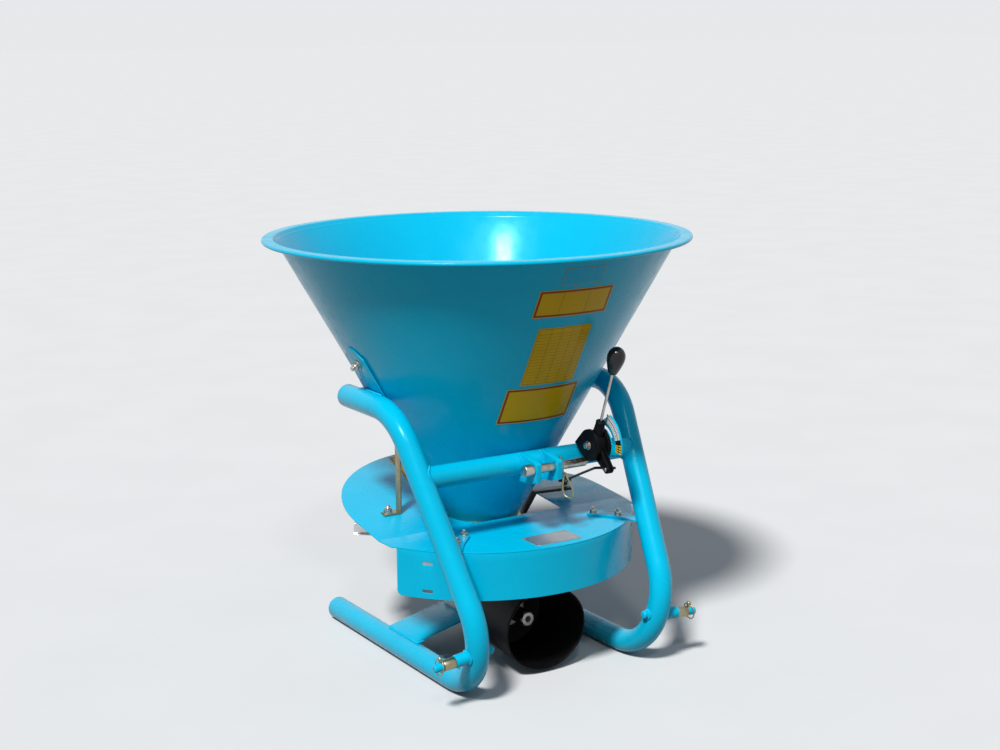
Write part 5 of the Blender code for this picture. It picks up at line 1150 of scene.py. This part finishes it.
YELLOW = rgb(0.73, 0.435, 0.003)
DARK_RED = rgb(0.30, 0.030, 0.012)
INK = rgb(0.14, 0.085, 0.015)
CHART = (0.132, 0.132 / cos(CONE_ANGLE))    # the chart's width and height


def aged_yellow(spot):
    return spot.noise(9.0, 4.0).ease(0.3, 0.7).mix(YELLOW, rgb(0.65, 0.385, 0.003))


def bordered(divisions):
    """A yellow field with a dark-red line near its edge and fine upright lines."""
    def recipe(spot, across, up, edge):
        line = (edge > 0.0020) * (edge < 0.0068)
        for place in divisions:
            near = (across - place).maths("ABSOLUTE")
            line = line.maths("MAXIMUM", (near < 0.0006) * (edge > 0.0068) * 0.7)
        return line.mix(aged_yellow(spot), DARK_RED)
    return recipe


def ruled(columns, rows, header):
    """A yellow chart ruled in fine brown lines."""
    def recipe(spot, across, up, edge):
        width, height = CHART
        line = (edge > 0.0030) * (edge < 0.0040)
        inside = edge > 0.0035
        step = (up - 0.0035) / ((height - 0.007 - header) / rows)
        row = (step.maths("FRACT") < 0.10) * inside * (up < height - 0.0035 - header * 0.5)
        line = line.maths("MAXIMUM", row)
        for place in columns:
            near = (across - place * width).maths("ABSOLUTE")
            line = line.maths("MAXIMUM", (near < 0.0005) * inside)
        return (line * 0.85).mix(aged_yellow(spot), INK)
    return recipe


def patch(point, columns, rows):
    """A patch of small faces. `point` places each share across and up, which is its UV place too."""
    body = bmesh.new()
    uv = body.loops.layers.uv.new("film")
    shares = [(i / columns, j / rows) for i in range(columns + 1) for j in range(rows + 1)]
    spots = [body.verts.new(point(across, up)) for across, up in shares]
    for i in range(columns):
        for j in range(rows):
            first = i * (rows + 1) + j
            ring = (first, first + rows + 1, first + rows + 2, first + 1)
            face = body.faces.new([spots[k] for k in ring])
            for loop, k in zip(face.loops, ring):
                loop[uv].uv = shares[k]
    return settled(body)


def cone_patch(width, low, high):
    """A patch of the cone's front, lifted off it by a hair."""
    def point(across, up):
        z = low + (high - low) * up
        radius = cone_radius(z) + 0.00045
        turn = -pi / 2 + width * (across - 0.5) / radius
        return radius * cos(turn), radius * sin(turn), z
    return patch(point, 24, 8)


def blue_panel(spot, across, up, edge):
    return (edge < 0.0016).mix(rgb(0.0, 0.46, 0.725), rgb(0.36, 0.30, 0.10))


panels = [
    ("panel_small", 0.096, 0.866, 0.904, blue_panel),
    ("panel_upper", 0.180, 0.797, 0.857, bordered((0.056, 0.118))),
    ("panel_chart", 0.132, 0.641, 0.773, ruled((0.25, 0.44, 0.63, 0.82), 15, 0.022)),
    ("panel_lower", 0.180, 0.551, 0.634, bordered(())),
]
for name, width, low, high, recipe in panels:
    finish = film(name, width, (high - low) / cos(CONE_ANGLE), recipe)
    add(name, cone_patch(width, low, high), finish, slot="enamel")


def lobe_point(across, up):
    """A corner of the small film that lies on the rising left lobe."""
    x, y = LABEL_CORNERS[across, up]
    return x, y, GUARD_TOP + lobe_rise(x, y) + 0.0005


LABEL_CORNERS = {(0, 0): (-0.100, 0.158), (1, 0): (-0.056, 0.150),
                 (1, 1): (-0.033, 0.288), (0, 1): (-0.076, 0.296)}
add("lobe_label", patch(lobe_point, 1, 1), film("lobe_label_film", 0.045, 0.140, bordered(())), slot="enamel")
print("panels:", [panel[0] for panel in panels])

# %% [markdown]
# ## The lever's scale
# A curved label on the sector shows how far the shutter is open. Its upper part is white with plain numbers
# and ticks, then comes a dark part and a yellow one with black bars.

# %% The sector's label
SECTOR_FACE_X = 0.1386
BAND_LENGTH = 0.083
BAND_WIDTH = 0.019
BLACK_INK = rgb(0.012, 0.012, 0.013)


def band_point(across, up):
    """A point of the curved band on the sector's left face: along the arc and outwards."""
    turn = radians(106.0 + 84.0 * across)
    radius = 0.0515 + 0.0193 * up
    spot = Vector((radius * cos(turn), radius * sin(turn), 0.0))
    return lever_place(SECTOR_FACE_X - 0.0004) @ spot


def scale_recipe(spot, across, up, edge):
    """White with ticks, then dark, then yellow with black bars, along the arc."""
    along = across / BAND_LENGTH
    ticks = ((along * 26.0).maths("FRACT") < 0.28) * (up > 0.0140) * (along < 0.68)
    base = (along > 0.68).mix(rgb(0.78, 0.78, 0.76), BLACK_INK)
    base = (along > 0.80).mix(base, rgb(0.78, 0.52, 0.02))
    bars = ((along * 18.0).maths("FRACT") < 0.36) * (along > 0.80)
    middle = (up > 0.0088) * (up < 0.0108)
    ink = ticks.maths("MAXIMUM", bars.maths("MAXIMUM", middle))
    return ink.mix(base, BLACK_INK)


scale_film = film("scale_film", BAND_LENGTH, BAND_WIDTH, scale_recipe)
add("scale_band", patch(band_point, 48, 3), scale_film, slot="enamel")

numbers = []
for value in range(10):
    text = bpy.data.curves.new("number", "FONT")
    text.body = str(value)
    text.size = 0.0062
    text.align_x = "CENTER"
    text.align_y = "CENTER"
    text.extrude = 0.00005
    digit = baked(show("helper", text))
    turn = radians(110 + 5.4 * value)
    outward = Vector((cos(turn), sin(turn), 0.0))
    upright = stand(outward * 0.0562, (0, 0, -1), Vector((0, 0, -1)).cross(outward))
    digit.transform(lever_place(SECTOR_FACE_X - 0.0005) @ upright)
    numbers.append(digit)
add("scale_numbers", joined(numbers), black_plastic, sharp=30)
print("scale numbers:", len(numbers))

# %% [markdown]
# ## The nodes that stay
# Bearings, the output gear and the shaft keep their CAD shape, which is right as it is. They only take the
# better finishes on their own material slots.

# %% Dress the remaining nodes
kept = []
for name, node in frame["nodes"].items():
    if not node.hide_render:
        for index, material in enumerate(node.data.materials):
            node.data.materials[index] = COATS[slot_name(material)]
        kept.append(name)
print("kept nodes:", kept)

# %% Update the view layer
bpy.context.view_layer.update()
